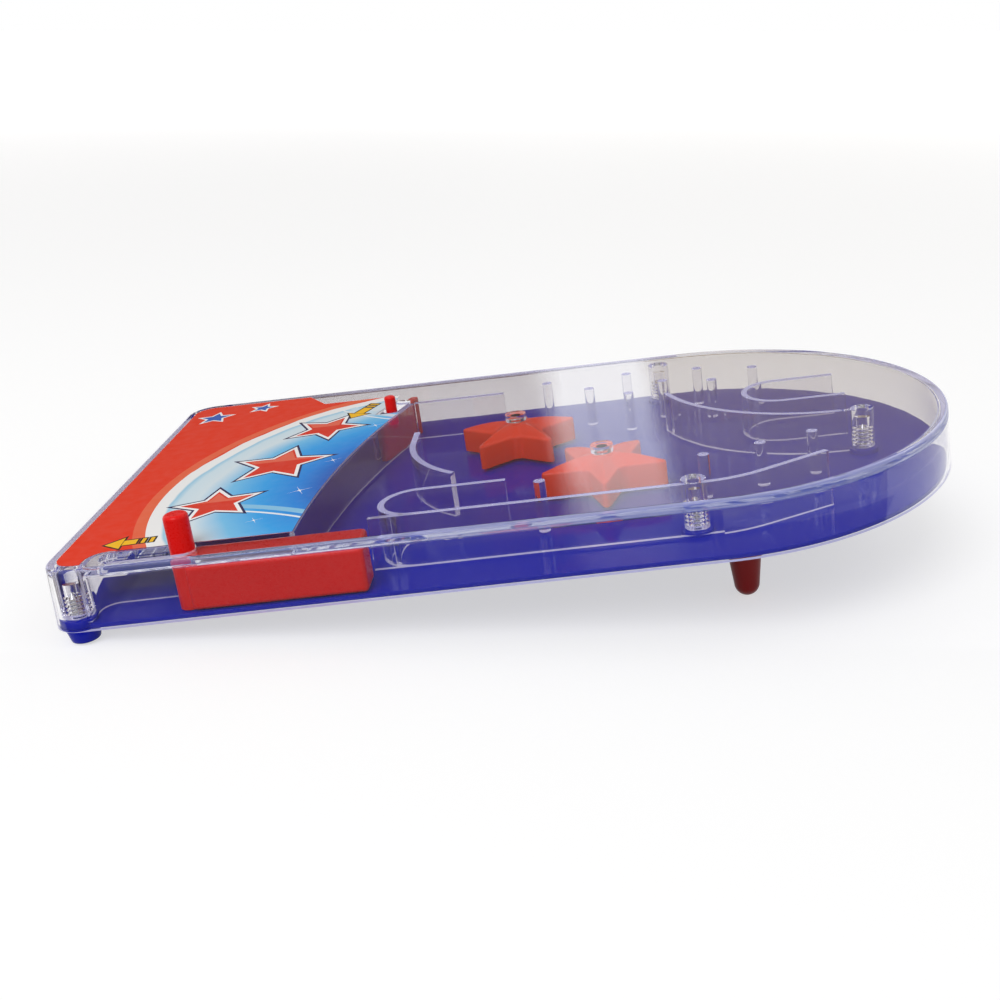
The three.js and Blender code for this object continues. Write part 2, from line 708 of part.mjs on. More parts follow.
/** A five-pointed star with sides that curve in, a crowned top, a flat hub and a bore for its post. */
function star({ name, x, y, heading }) {
  const points = 70;
  const edge = (share) => Array.from({ length: points }, (_, i) => {
    const angle = (2 * Math.PI * i) / points;
    const reach = ((1 + Math.cos(starPoints * angle)) / 2) ** starPointPower;
    const radius = starValleyRadius + (starRadius - starValleyRadius) * reach;
    return [angle + heading, share(radius)];
  });
  const ring = (share, z) => edge(share).map(([angle, radius]) => (
    [x + radius * Math.cos(angle), y + radius * Math.sin(angle), z]));
  const drawnIn = (inset) => (radius) => radius - inset;
  const between = (blend) => (radius) => (
    starHubRadius + (radius - starEdgeRound - starHubRadius) * (1 - blend));
  const crownLevelAt = (blend) => starShoulder + starCrown * Math.sin((blend * Math.PI) / 2);
  const crown = starCrownShares.map((blend) => ring(between(blend), crownLevelAt(blend)));
  const body = loft([
    ring(drawnIn(0), starBottom),
    ring(drawnIn(0), starShoulder - starEdgeRound),
    ring(drawnIn(starEdgeRound * halfwayRound), starShoulder - starEdgeRound * halfwayRound),
    ring(drawnIn(starEdgeRound), starShoulder),
    ...crown,
    ring(() => starHubRadius, starTop),
  ]);
  const bore = post(x, y, starPostRadius + fit, starBottom - overrun, starTop + overrun, 24);
  return part(name, body.subtract(bore), redPlastic);
}

/** The steel ball at home: on the floor, against the arched wall and the far side of the block. */
function ball() {
  const y = blockFarY + ballRadius + fit;
  const reach = archRadius - ballRadius - fit;
  const x = archCentreX - Math.sqrt(reach ** 2 - (y - archCentreY) ** 2);
  const geometry = new THREE.SphereGeometry(ballRadius, 24, 16);
  geometry.translate(x, y, glideLevel + ballRadius);
  return part("steel_ball", solid(geometry), ballSteel);
}

/** A pan-head screw standing up into a boss. */
function screw(name, [x, y]) {
  const head = screwHead / 2;
  const shank = screwShank / 2;
  const tip = screwHeadHigh + screwLength;
  const slotDepth = screwHeadHeight / 2;
  const [panRadiusShare, panHeightShare] = screwPanShares;
  const shape = turned([
    [0, screwHeadLow], [head * panRadiusShare, screwHeadLow],
    [head, screwHeadLow + screwHeadHeight * panHeightShare], [head, screwHeadHigh],
    [shank, screwHeadHigh], [shank, tip - screwTip], [0, tip],
  ], x, y, 20);
  const blade = head * screwCrossShare;
  const cross = [[2 * blade, blade / 2], [blade / 2, 2 * blade]].map(([lengthX, lengthY]) => {
    const cut = new THREE.BoxGeometry(lengthX, lengthY, 2 * slotDepth);
    cut.translate(x, y, screwHeadLow);
    return solid(cut);
  });
  return part(name, shape.subtract(cross[0]).subtract(cross[1]), screwSteel);
}

/** A tapered rear leg: its root sits in the base's socket over the spigot, and its tip is round. */
function leg(name, side) {
  const top = -fit;
  const inside = legSpigotRadius + fit;
  const tipCentre = legTipCentre();
  const tip = [1, 2, 3, 4, 5].map((i) => {
    const angle = (i * Math.PI) / 10;
    return [legTipRadius * Math.cos(angle), tipCentre - legTipRadius * Math.sin(angle)];
  });
  tip[4][0] = 0;
  const profile = [
    [inside, top], [legRootRadius, top], [legRootRadius, -legSocketDepth], [legTipRadius, tipCentre],
    ...tip, [0, -legSpigotLength - fit], [inside, -legSpigotLength - fit], [inside, top],
  ];
  return part(name, turned(profile, legX, side * legY, 24), legPlastic);
}

/** The level of the centre of a leg's round tip, so that feet and legs stand on one table. */
function legTipCentre() {
  const footX = frontBossInset - (footTipRadius - footRound);
  const footDrop = footX * Math.sin(standAngle) - footHeight * Math.cos(standAngle);
  return (footDrop + legTipRadius - legX * Math.sin(standAngle)) / Math.cos(standAngle);
}

/** The printed card that lies in the cover's shallow recess, flush with its top. */
function card() {
  const shape = prism(cardShape(-fit / 2), caseHeight - cardThickness, caseHeight);
  return part("printed_card", shape, printedCard);
}

const game = new THREE.Group();
game.add(cover(), base(), card(), shooter(), spring(), gate());
for (const place of starPlaces) game.add(star(place));
game.add(ball());
bossPlaces.forEach((at, i) => game.add(screw(`cover_screw_${i + 1}`, at)));
game.add(leg("rear_leg_near", -1), leg("rear_leg_far", 1));

// Stand the game on its feet and legs, with the middle of its footprint at the origin
game.rotation.y = -standAngle;
const group = new THREE.Group();
group.add(game);
group.updateMatrixWorld(true);
const bounds = new THREE.Box3().setFromObject(group, true);
game.position.set(-(bounds.min.x + bounds.max.x) / 2, -(bounds.min.y + bounds.max.y) / 2, -bounds.min.z);

export default group;
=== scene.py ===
import json
import math

import bmesh
import bpy
from mathutils import Matrix, Vector

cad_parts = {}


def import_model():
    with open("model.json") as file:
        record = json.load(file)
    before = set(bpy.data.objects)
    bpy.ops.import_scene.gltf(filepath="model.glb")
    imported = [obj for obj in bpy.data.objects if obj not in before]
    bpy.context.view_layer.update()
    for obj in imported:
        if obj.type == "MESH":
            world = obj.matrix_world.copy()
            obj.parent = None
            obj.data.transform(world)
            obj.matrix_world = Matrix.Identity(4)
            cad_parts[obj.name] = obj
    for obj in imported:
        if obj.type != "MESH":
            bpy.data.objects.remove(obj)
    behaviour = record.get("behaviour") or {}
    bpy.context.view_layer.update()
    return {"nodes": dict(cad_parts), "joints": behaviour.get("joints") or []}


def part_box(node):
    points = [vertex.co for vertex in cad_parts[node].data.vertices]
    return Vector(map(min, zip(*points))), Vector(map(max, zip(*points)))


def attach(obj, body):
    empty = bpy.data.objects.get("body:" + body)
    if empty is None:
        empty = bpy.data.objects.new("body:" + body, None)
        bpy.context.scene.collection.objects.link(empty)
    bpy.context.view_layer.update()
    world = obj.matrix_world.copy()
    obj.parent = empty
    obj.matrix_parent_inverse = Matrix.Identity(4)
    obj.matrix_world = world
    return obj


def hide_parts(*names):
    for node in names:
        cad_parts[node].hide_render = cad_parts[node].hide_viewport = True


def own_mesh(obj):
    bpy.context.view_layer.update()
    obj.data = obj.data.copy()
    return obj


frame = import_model()

# Sizes of the game in millimetres, as it is drawn lying flat: x runs from the player's end to the round
# end, y across it away from the shooter, z up from the underside of the cover's wall
MM = 0.001

# The gap between pieces, how deep a joined part is sunk in, and how far a cut runs past a face
FIT = 0.3 * MM
SINK = 0.4 * MM
OVERRUN = 1 * MM

# Small roundings, what is shaded flat, and how far up a face looks
EDGE_EASE = 0.25 * MM
EASED_FROM = math.radians(40)
FLAT_WIDTH = 0.9 * MM
FLAT_AREA = 60 * MM * MM
LEVEL = 0.9999
UPWARDS = 0.9

# The case
CASE_LENGTH = 242 * MM
CASE_WIDTH = 144 * MM
CASE_HEIGHT = 16.5 * MM
CORNER = 8.5 * MM
DRAFT = 0.5 * MM
TOP_ROUND = 0.9 * MM
WALL = 2 * MM
PLATE = 2.4 * MM
FLOOR = 1.2 * MM
FLOOR_EASE = 0.15 * MM
HALF = CASE_WIDTH / 2
CEILING = CASE_HEIGHT - PLATE
INNER_HALF = HALF - WALL - DRAFT / 2

# What hangs from the cover's plate
RAIL_LOW = 1.9 * MM
RAIL = 1.8 * MM
GUIDE = 1.2 * MM
ARCH = 1.6 * MM
PEG_RADIUS = 1.6 * MM
BOSS_RADIUS = 3.3 * MM
BOSS_LOW = 2.8 * MM
BORE_TOP = 11.8 * MM
BORE_RADIUS = 1.55 * MM
BORE_RINGS = 5
RING_DEPTH = 0.45 * MM
LANE = 13 * MM
LONG_RAIL_Y = -(INNER_HALF - LANE - RAIL / 2)
FAR_RAIL_Y = 47.8 * MM
ARCH_RADIUS = 325 * MM
ARCH_START = 62.5 * MM
GUIDE_Y = -59.15 * MM
GUIDE_FRONT = 10.9 * MM
GUIDE_CORNER = 5 * MM

# The shooter block and its finger pin
BLOCK_LENGTH = 44.5 * MM
BLOCK_WIDTH = 9.2 * MM
BLOCK_HEIGHT = 12 * MM
BLOCK_WALL = 1.5 * MM
BLOCK_ROUND = 1.2 * MM
BLOCK_REAR = 81 * MM
SIDE_GAP = 0.4 * MM
GLIDE = FLOOR + FIT
PIN_RADIUS = 3.1 * MM
PIN_RISE = 9.6 * MM
SHOOTER_TRAVEL = 18 * MM
BLOCK_NEAR = -(INNER_HALF - SIDE_GAP)
BLOCK_FAR = BLOCK_NEAR + BLOCK_WIDTH
BLOCK_FRONT = BLOCK_REAR - BLOCK_LENGTH
BLOCK_MIDDLE = GLIDE + BLOCK_HEIGHT / 2
SPRING_Y = (BLOCK_NEAR + BLOCK_FAR) / 2
PIN_AHEAD = 0.9 * MM
PIN_PLACE = Vector((BLOCK_FRONT - PIN_AHEAD, SPRING_Y - SIDE_GAP))

# The stop on the base, and the spring between it and the block
STOP_GAP = 1.3 * MM
STOP_FRONT = BLOCK_FRONT + BLOCK_WALL + STOP_GAP
STOP_DEPTH = 1.6 * MM
STOP_DROP = 1.8 * MM
SPRING_SPIGOT = 1.5 * MM
SPRING_SPIGOT_LENGTH = 4 * MM
SPRING_WIRE = 0.5 * MM
SPRING_RADIUS = 2.4 * MM
SPRING_TURNS = 13
SPRING_CLOSED_PITCH = 0.95 * MM

# The gate and its finger pin
GATE_PLACE = Vector((74.004, 40.5)) * MM
GATE_ANGLE = math.radians(17.504)
GATE_ALONG = Vector((math.sin(GATE_ANGLE), math.cos(GATE_ANGLE)))
GATE_THICKNESS = 2.8 * MM
GATE_BEHIND = 12.5 * MM
GATE_AHEAD = 18.5 * MM
GATE_PIN = 1.8 * MM
GATE_RISE = 4.7 * MM
GATE_TRAVEL = 8 * MM
GATE_SLOT = 5.4 * MM
GATE_GAP = 0.7 * MM

# The stars and what they turn on
STAR_TIP = 17.6 * MM
STAR_REACH = 21.15 * MM
STAR_INNER = 7.8 * MM
STAR_TIP_EASE = 4.8 * MM
STAR_VALLEY_EASE = 2.5 * MM
STAR_LOW = 2.2 * MM
STAR_SHOULDER = 9.4 * MM
STAR_TOP = 11.7 * MM
STAR_ROUND = 0.8 * MM
STAR_HUB = 3.7 * MM
STAR_POST = 1.55 * MM
STAR_COLLAR = 3.25 * MM
STAR_POINTS = 5
STAR_LEVEL = 8 * MM
STAR_RING_RISE = 0.7 * MM

# The ball, the legs, the base's sockets, crowns and feet, and the screws
BALL_RADIUS = 4 * MM
LEG_X = 177 * MM
LEG_Y = 41 * MM
LEG_ROOT = 5.2 * MM
LEG_TIP = 3.5 * MM
SOCKET_DEPTH = 6 * MM
SOCKET_WALL = 1.5 * MM
LEG_SPIGOT = 2 * MM
LEG_SPIGOT_DEPTH = 5 * MM
CROWN_TOP = 2.5 * MM
CROWN_WALL = 1.4 * MM
SCREW_SEAT = 1.5 * MM
FOOT_ROUND = 0.8 * MM
FOOT_HEIGHT = 4 * MM
FOOT_ROOT = 4.5 * MM
FOOT_TIP = 3.7 * MM
SCREW_HEAD = 2.5 * MM
SCREW_HEAD_LOW = 0.2 * MM
SCREW_HEAD_HEIGHT = 1 * MM
SCREW_CORE = 1.15 * MM
SCREW_THREAD = 1.45 * MM
SCREW_LENGTH = 8.2 * MM
SCREW_TIP = 1.4 * MM
SCREW_PITCH = 1.1 * MM
SCREW_POINT = 0.15 * MM
RECESS_LENGTH = 3 * MM
RECESS_WIDTH = 0.7 * MM
RECESS_DEPTH = 0.6 * MM

# Places on the field, as shares of the case's length and half width
PEG_SHARES = [
    (0.763, -0.421), (0.825, -0.351), (0.697, -0.485), (0.514, -0.579), (0.573, 0.583), (0.672, 0.578),
    (0.722, 0.722), (0.736, 0.507), (0.625, 0.76), (0.6245, 0.442), (0.515, 0.75), (0.795, 0.642),
]
BOSS_PLACES = [
    Vector((7.3, -66.9)) * MM,
    Vector((7.3, 66.9)) * MM,
    Vector((0.679 * CASE_LENGTH, LONG_RAIL_Y + BOSS_RADIUS)),
    Vector((0.895 * CASE_LENGTH, -0.139 * HALF)),
    Vector((0.671 * CASE_LENGTH, 0.857 * HALF)),
]
STAR_PLACES = [
    (Vector((0.4764 * CASE_LENGTH, 0.3167 * HALF)), math.pi / 2),
    (Vector((0.5847 * CASE_LENGTH, -0.2306 * HALF)), -math.pi / 2),
]


def joint(name):
    """One joint of the frame."""
    return next(entry for entry in frame["joints"] if entry["name"] == name)


# The drawing stands on its feet and legs: a star's joint in the frame says how far it is turned and where
star_joint = joint("star_1_turn")
tilt = math.atan2(-star_joint["axis"][0], star_joint["axis"][2])
turn = Matrix.Rotation(-tilt, 4, "Y")
origin = Vector(star_joint["pos_m"])
origin -= turn.to_3x3() @ STAR_PLACES[0][0].to_3d()
origin -= turn.to_3x3() @ Vector((0, 0, STAR_LEVEL))
stand = Matrix.Translation(origin) @ turn


# Modelling, as by hand

def alone(piece):
    """Selects one object and nothing else."""
    if bpy.context.object is not None and bpy.context.object.mode != "OBJECT":
        bpy.ops.object.mode_set(mode="OBJECT")
    bpy.ops.object.select_all(action="DESELECT")
    piece.select_set(True)
    bpy.context.view_layer.objects.active = piece


def settled(name):
    """Names the object that was just added and puts its place into its mesh."""
    piece = bpy.context.object
    piece.name = piece.data.name = name
    alone(piece)
    bpy.ops.object.transform_apply(location=True, rotation=True, scale=True)
    return piece


def pick(piece, mode, test):
    """Goes into edit mode and selects the faces, edges or vertices that pass a test."""
    alone(piece)
    bpy.ops.object.mode_set(mode="EDIT")
    bpy.ops.mesh.select_mode(type=mode)
    bpy.ops.mesh.select_all(action="DESELECT")
    mesh = bmesh.from_edit_mesh(piece.data)
    for element in {"VERT": mesh.verts, "EDGE": mesh.edges, "FACE": mesh.faces}[mode]:
        if test(element):
            element.select_set(True)
    mesh.select_flush_mode()
    bmesh.update_edit_mesh(piece.data)


def finished(piece):
    """Leaves edit mode."""
    bpy.ops.object.mode_set(mode="OBJECT")
    return piece


def outward(piece):
    """Merges doubles and turns all faces outwards."""
    pick(piece, "VERT", lambda vertex: True)
    bpy.ops.mesh.remove_doubles(threshold=0.001 * MM)
    bpy.ops.mesh.normals_make_consistent(inside=False)
    return finished(piece)


def joined(pieces, name):
    """Several objects made one."""
    alone(pieces[0])
    for other in pieces:
        other.select_set(True)
    bpy.ops.object.join()
    return settled(name)


def boolean(piece, tool, operation):
    """Adds a tool to a piece or cuts it out, and takes the tool away."""
    alone(piece)
    modifier = piece.modifiers.new("boolean", "BOOLEAN")
    modifier.operation = operation
    modifier.solver = "MANIFOLD"
    modifier.object = tool
    bpy.ops.object.modifier_apply(modifier="boolean")
    bpy.data.objects.remove(tool)
    return piece


def eased(piece, width, segments=2):
    """Rounds the sharp edges of a piece."""
    alone(piece)
    modifier = piece.modifiers.new("ease", "BEVEL")
    modifier.width = width
    modifier.segments = segments
    modifier.limit_method = "ANGLE"
    modifier.angle_limit = EASED_FROM
    modifier.use_clamp_overlap = True
    bpy.ops.object.modifier_apply(modifier="ease")
    return piece


def smooth(piece, angle=35):
    """Shades a piece smooth up to its sharp edges, and its level faces and other large flat ones flat."""
    alone(piece)
    bpy.ops.object.shade_smooth_by_angle(angle=math.radians(angle))
    pick(piece, "EDGE", lambda edge: edge.calc_face_angle(0) > math.radians(angle))
    bpy.ops.mesh.mark_sharp()
    pick(piece, "FACE", lambda face: abs(face.normal.z) > LEVEL or (
        face.calc_area() > FLAT_AREA and face.calc_area() > FLAT_WIDTH * face.calc_perimeter()))
    bpy.ops.mesh.faces_shade_flat()
    return finished(piece)


def set_up(piece, body, nodes, material):
    """Stands a finished piece on its feet, gives it its material and says what it rides on and replaces."""
    alone(piece)
    piece.matrix_world = stand
    bpy.ops.object.transform_apply(location=True, rotation=True, scale=True)
    piece.data.materials.clear()
    piece.data.materials.append(material)
    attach(piece, body)
    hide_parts(*nodes)
    return piece


def post(name, place, radius, low, high, vertices=48):
    """A plain round post, to be joined, cut or eased."""
    bpy.ops.mesh.primitive_cylinder_add(
        vertices=vertices, radius=radius, depth=high - low, location=(place.x, place.y, (low + high) / 2))
    return settled(name)


def lying(name, front, rear, y, level, radius):
    """A round spigot that lies along the game."""
    bpy.ops.mesh.primitive_cylinder_add(
        vertices=32, radius=radius, depth=rear - front, location=((front + rear) / 2, y, level),
        rotation=(0, math.pi / 2, 0))
    return eased(settled(name), EDGE_EASE)


def rounded(size, steps, affect="EDGES"):
    """Rounds the edges or the corners that are selected."""
    bpy.ops.mesh.bevel(offset=size, offset_type="OFFSET", segments=steps, profile=0.5, affect=affect)


def block(name, low, high):
    """A plain block between two corners, to be joined, cut or eased."""
    low, high = Vector(low), Vector(high)
    bpy.ops.mesh.primitive_cube_add(size=1, location=(low + high) / 2)
    bpy.context.object.scale = high - low
    return settled(name)


def turned(name, place, profile, vertices=64):
    """A round piece drawn from a disc, extruded and scaled to each later pair of radius and level."""
    (radius, level), *rest = profile
    bpy.ops.mesh.primitive_circle_add(
        vertices=vertices, radius=radius, fill_type="NGON", location=(place.x, place.y, level))
    piece = settled(name)
    pick(piece, "FACE", lambda face: True)
    for next_radius, next_level in rest:
        bpy.ops.mesh.extrude_region_move(TRANSFORM_OT_translate={"value": (0, 0, next_level - level)})
        share = next_radius / radius
        bpy.ops.transform.resize(
            value=(share, share, 1), center_override=(place.x, place.y, next_level))
        radius, level = next_radius, next_level
    finished(piece)
    return outward(piece)


def round_over(radius, level, size, rising):
    """Pairs of radius and level over a rounded edge, from the side to the end: the top, or the foot where
    rising is -1."""
    steps = 5
    angles = [math.pi / 2 * i / steps for i in range(steps + 1)]
    return [
        (radius - size * (1 - math.cos(angle)), level - rising * size * (1 - math.sin(angle)))
        for angle in angles
    ]


def rail(name, start, heading, moves, thickness=RAIL, step=math.radians(6)):
    """A wall that hangs from the plate, drawn from an upright face that is pushed along each straight and
    spun round each bend.

    A move is ("run", length) or ("bend", radius, angle), and a bend to the left has a positive angle.
    """
    x, y = start
    low, high = RAIL_LOW, CEILING + SINK
    middle = (low + high) / 2
    bpy.ops.mesh.primitive_plane_add(size=1, location=(0, 0, 0), rotation=(math.pi / 2, 0, math.pi / 2))
    bpy.ops.object.transform_apply(location=True, rotation=True, scale=True)
    bpy.context.object.scale = (1, thickness, high - low)
    bpy.context.object.rotation_euler = (0, 0, heading)
    bpy.context.object.location = (x, y, middle)
    piece = settled(name)
    pick(piece, "FACE", lambda face: True)
    for kind, *sizes in moves:
        if kind == "run":
            along = Vector((math.cos(heading), math.sin(heading), 0)) * sizes[0]
            bpy.ops.mesh.extrude_region_move(TRANSFORM_OT_translate={"value": along})
            x, y = x + along.x, y + along.y
            continue
        radius, angle = sizes
        side = math.copysign(1, angle)
        centre = (x - side * radius * math.sin(heading), y + side * radius * math.cos(heading), middle)
        steps = max(2, math.ceil(abs(angle) / step))
        bpy.ops.mesh.spin(steps=steps, angle=abs(angle), center=centre, axis=(0, 0, -side))
        heading += angle
        x, y = centre[0] + side * radius * math.sin(heading), centre[1] - side * radius * math.cos(heading)
    finished(piece)
    return outward(piece)


def case_block(name, inset, low, high):
    """The plan of the case, drawn in by an inset: a block with two rounded corners and a half-round end."""
    side = HALF - inset
    piece = block(name, (inset, -side, low), (CASE_LENGTH - inset, side, high))
    nearly_half_round = side * 0.9999
    for x, radius, steps in ((inset, CORNER - inset, 10), (CASE_LENGTH - inset, nearly_half_round, 44)):
        pick(piece, "EDGE", lambda edge: all(abs(vertex.co.x - x) < SINK for vertex in edge.verts)
             and abs(edge.verts[0].co.z - edge.verts[1].co.z) > SINK)
        rounded(radius, steps)
        finished(piece)
    return piece


def stadium(name, place, direction, travel, width, low, high):
    """A bar with round ends: a slot that is to be cut out, or the gate itself."""
    ends = [place, place + direction * travel]
    posts = [post(name, end, width / 2, low, high, 32) for end in ends]
    middle = (ends[0] + ends[1]) / 2
    bpy.ops.mesh.primitive_cube_add(size=1, location=(middle.x, middle.y, (low + high) / 2))
    bpy.context.object.scale = (travel, width, high - low)
    bpy.context.object.rotation_euler = (0, 0, math.atan2(direction.y, direction.x))
    bar = settled(name)
    for end in posts:
        bar = boolean(bar, end, "UNION")
    return bar


# Materials: a wire is one socket, and an expression on wires adds the nodes that it needs

class Wire:
    """One output socket of a material, with sums written as Python expressions."""

    def __init__(self, shade, socket):
        self.shade = shade
        self.socket = socket

    def maths(self, operation, *others):
        inputs = dict(enumerate((self, *others)))
        return self.shade.node("Math", {"operation": operation}, inputs)

    def __add__(self, other):
        return self.maths("ADD", other)

    __radd__ = __add__

    def __mul__(self, other):
        return self.maths("MULTIPLY", other)

    __rmul__ = __mul__

    def __sub__(self, other):
        return self.maths("SUBTRACT", other)

    def __rsub__(self, other):
        return self.shade.node("Math", {"operation": "SUBTRACT"}, {0: other, 1: self})

    def __truediv__(self, other):
        return self.maths("DIVIDE", other)

    def __gt__(self, other):
        return self.maths("GREATER_THAN", other)

    def __lt__(self, other):
        return self.maths("LESS_THAN", other)

    def __and__(self, other):
        return self.maths("MINIMUM", other)

    def __or__(self, other):
        return self.maths("MAXIMUM", other)

    def __abs__(self):
        return self.maths("ABSOLUTE")


class Shade:
    """A node material of one finish."""

    def __init__(self, name):
        self.material = bpy.data.materials.new(name)
        self.material.use_nodes = True
        self.tree = self.material.node_tree
        self.tree.nodes.clear()

    def node(self, kind, settings=None, inputs=None, output=0):
        """Adds a node: first its settings, such as a ramp's stops, then its sockets' values or wires."""
        made = self.tree.nodes.new("ShaderNode" + kind)
        for key, value in (settings or {}).items():
            if key == "stops":
                for i, (position, colour) in enumerate(value):
                    stop = made.color_ramp.elements[i] if i < 2 else made.color_ramp.elements.new(position)
                    stop.position = position
                    stop.color = colour
            else:
                setattr(made, key, value)
        for key, value in (inputs or {}).items():
            if isinstance(value, Wire):
                self.tree.links.new(value.socket, made.inputs[key])
            else:
                made.inputs[key].default_value = value
        return Wire(self, made.outputs[output])

    def drawing(self):
        """Object coordinates turned back to the flat drawing, as a vector in millimetres."""
        place = self.node("TexCoord", output="Object")
        return self.node("Mapping", {"vector_type": "TEXTURE"}, {
            "Vector": place, "Location": origin, "Rotation": (0, -tilt, 0), "Scale": (MM, MM, MM)})

    def parts(self, vector):
        """The three numbers of a vector."""
        split = self.node("SeparateXYZ", inputs={"Vector": vector})
        return [Wire(self, split.socket.node.outputs[i]) for i in range(3)]

    def noise(self, vector, scale, detail, roughness=0.5):
        """Cloudy noise from 0 to 1."""
        return self.node("TexNoise", inputs={
            "Vector": vector, "Scale": scale, "Detail": detail, "Roughness": roughness})

    def blend(self, share, first, second):
        """Two colours mixed by a share."""
        mixed = self.node("Mix", {"data_type": "RGBA"}, {"Factor": share, 6: first, 7: second})
        return Wire(self, mixed.socket.node.outputs[2])

    def fade(self, value, start, end):
        """A smooth change from 0 at the start to 1 at the end."""
        return self.node("MapRange", {"interpolation_type": "SMOOTHSTEP"}, {
            "Value": value, "From Min": start, "From Max": end})

    def bump(self, height, distance, strength):
        """A normal bent by a height."""
        return self.node("Bump", inputs={"Height": height, "Distance": distance, "Strength": strength})

    def plastic(self, inputs):
        """The main shader."""
        return self.node("BsdfPrincipled", inputs=inputs)

    def mixed(self, share, first, second):
        """Two shaders mixed by a share."""
        return self.node("MixShader", inputs={0: share, 1: first, 2: second})

    def done(self, surface):
        """Links the shader to the output."""
        end = self.tree.nodes.new("ShaderNodeOutputMaterial")
        self.tree.links.new(surface.socket, end.inputs["Surface"])
        return self.material


def colour(text):
    """A colour written as on a screen, in linear values."""
    channels = [int(text[i:i + 2], 16) / 255 for i in (0, 2, 4)]
    return [c / 12.92 if c <= 0.04045 else ((c + 0.055) / 1.055) ** 2.4 for c in channels] + [1]


# Levels in the clear moulding, in millimetres, and how level a face is, from 0 to 1
LOWER_ENDS = 3
PLATE_EDGE = 14
ENDS_LEVEL = 0.3
EDGE_LEVEL = 0.97


def clear_plastic():
    """Polished clear moulding with a faint lavender cast, frosted lower ends on its rails, pegs and wall,
    and painted blue in the plate's rounded edge, which stands in for the blue base seen through it:
    a painted reflection, strongest on the near side and growing rearwards.

    Lamps and bounced light pass it straight.
    """
    shade = Shade("clear_moulding")
    flat = shade.drawing()
    x, y, z = shade.parts(flat)
    wave = shade.noise(flat, 0.05, 2.0)
    haze = shade.noise(flat, 0.9, 4.0)
    glass = shade.plastic({
        "Base Color": colour("f7f6f8"),
        "Transmission Weight": 1.0,
        "IOR": 1.46,
        "Roughness": haze * 0.03,
        "Normal": shade.bump(wave, 0.3 * MM, 0.05),
    })
    facing = shade.node("TexCoord", output="Normal")
    plate_up = turn.to_3x3() @ Vector((0, 0, 1))
    level = abs(shade.node(
        "VectorMath", {"operation": "DOT_PRODUCT"}, {0: facing, 1: plate_up}, output="Value"))
    lower_end = (level > ENDS_LEVEL) & (z < LOWER_ENDS)
    # Painted reflection: the plate's rounded top edge is tinted blue for the blue base seen through it,
    # more on the near side and towards the round end
    edge = (level < EDGE_LEVEL) & (z > PLATE_EDGE)
    painted_blue_rearwards = (x * 0.006 + 0.12) & 1
    painted_blue_nearwards = 0.36 - y * 0.005
    # This shader is both the real frost of the lower ends and the painted blue reflection in the plate's
    # edge
    frost_and_painted_blue = shade.plastic({
        "Base Color": shade.blend(edge * (1 - level * 0.6), colour("d9d8f4"), colour("6272c2")),
        "Roughness": 0.5,
    })
    share = lower_end * (haze * 0.2 + 0.7) + edge * painted_blue_nearwards * painted_blue_rearwards
    moulding = shade.mixed(share, glass, frost_and_painted_blue)
    through = shade.node("BsdfTransparent", inputs={"Color": colour("f7f7fd")})
    shadow = shade.node("LightPath", output="Is Shadow Ray")
    bounced = shade.node("LightPath", output="Is Diffuse Ray")
    return shade.done(shade.mixed(bounced, shade.mixed(shadow, moulding, through), through))


def moulded(name, main, dark, roughness, gloss):
    """Opaque moulded plastic: a little uneven in colour and gloss, with a faint orange-peel surface."""
    shade = Shade(name)
    flat = shade.drawing()
    cloud = shade.noise(flat, 0.08, 3.0)
    fine = shade.noise(flat, 2.2, 3.0)
    return shade.done(shade.plastic({
        "Base Color": shade.blend(cloud, colour(main), colour(dark)),
        "Roughness": fine * 0.08 + (roughness - 0.04),
        "Specular IOR Level": gloss,
        "Normal": shade.bump(fine, 0.02 * MM, 0.4),
    }))


def steel(name, main, roughness, wear_scale):
    """Bright metal with fine wear in its gloss."""
    shade = Shade(name)
    wear = shade.noise(shade.drawing(), wear_scale, 5.0, 0.6)
    return shade.done(shade.plastic({
        "Base Color": colour(main),
        "Metallic": 1.0,
        "Roughness": wear * 0.14 + roughness,
        "Normal": shade.bump(wear, 0.01 * MM, 0.4),
    }))


class Layers:
    """A printed picture, built up colour on colour from the back to the front."""

    def __init__(self, shade, first):
        self.shade = shade
        self.wire = first

    def paint(self, mask, text):
        """Paints a colour over the picture where a mask is 1."""
        self.wire = self.shade.blend(mask, self.wire, colour(text))


def from_centre(x, y, centre, squeeze=1):
    """The distance from a centre, with y squeezed."""
    across, along = x - centre[0], (y - centre[1]) * squeeze
    return (across * across + along * along).maths("POWER", 0.5)


def turned_to(x, y, centre, angle):
    """Coordinates along and across a direction, from a centre."""
    across, along = x - centre[0], y - centre[1]
    cos, sin = math.cos(angle), math.sin(angle)
    return across * cos + along * sin, along * cos - across * sin


def star_edge(x, y, centre, angle, radius, valley):
    """How far a point lies outside the nearest edge of a five-pointed star, negative inside."""
    u, v = turned_to(x, y, centre, angle)
    part = 2 * math.pi / STAR_POINTS
    around = v.maths("ARCTAN2", u)
    folded = abs((around + part / 2).maths("FLOORED_MODULO", part) - part / 2)
    away = (u * u + v * v).maths("POWER", 0.5)
    reach, aside = away * folded.maths("COSINE"), away * folded.maths("SINE")
    corner = (valley * math.cos(part / 2), valley * math.sin(part / 2))
    edge = math.dist(corner, (radius, 0))
    return (reach - radius) * (corner[1] / edge) + aside * ((radius - corner[0]) / edge)


def arrow_edge(x, y, tip, angle, length, half_width, head):
    """How far a point lies outside a plain arrow whose tip points along an angle, negative inside."""
    u, v = turned_to(x, y, tip, angle)
    side = abs(v)
    shaft = (side - half_width) | (-length - u) | (u + head)
    barb = 2.3 * half_width
    slope = math.atan2(barb, head)
    point = (u * math.sin(slope) + side * math.cos(slope)) | (-head - u)
    return shaft & point


def bar_edge(x, y, tip, angle, start, end, half_width):
    """How far a point lies outside a short bar in line with an arrow."""
    u, v = turned_to(x, y, tip, angle)
    return (abs(v) - half_width) | (start - u) | (u - end)


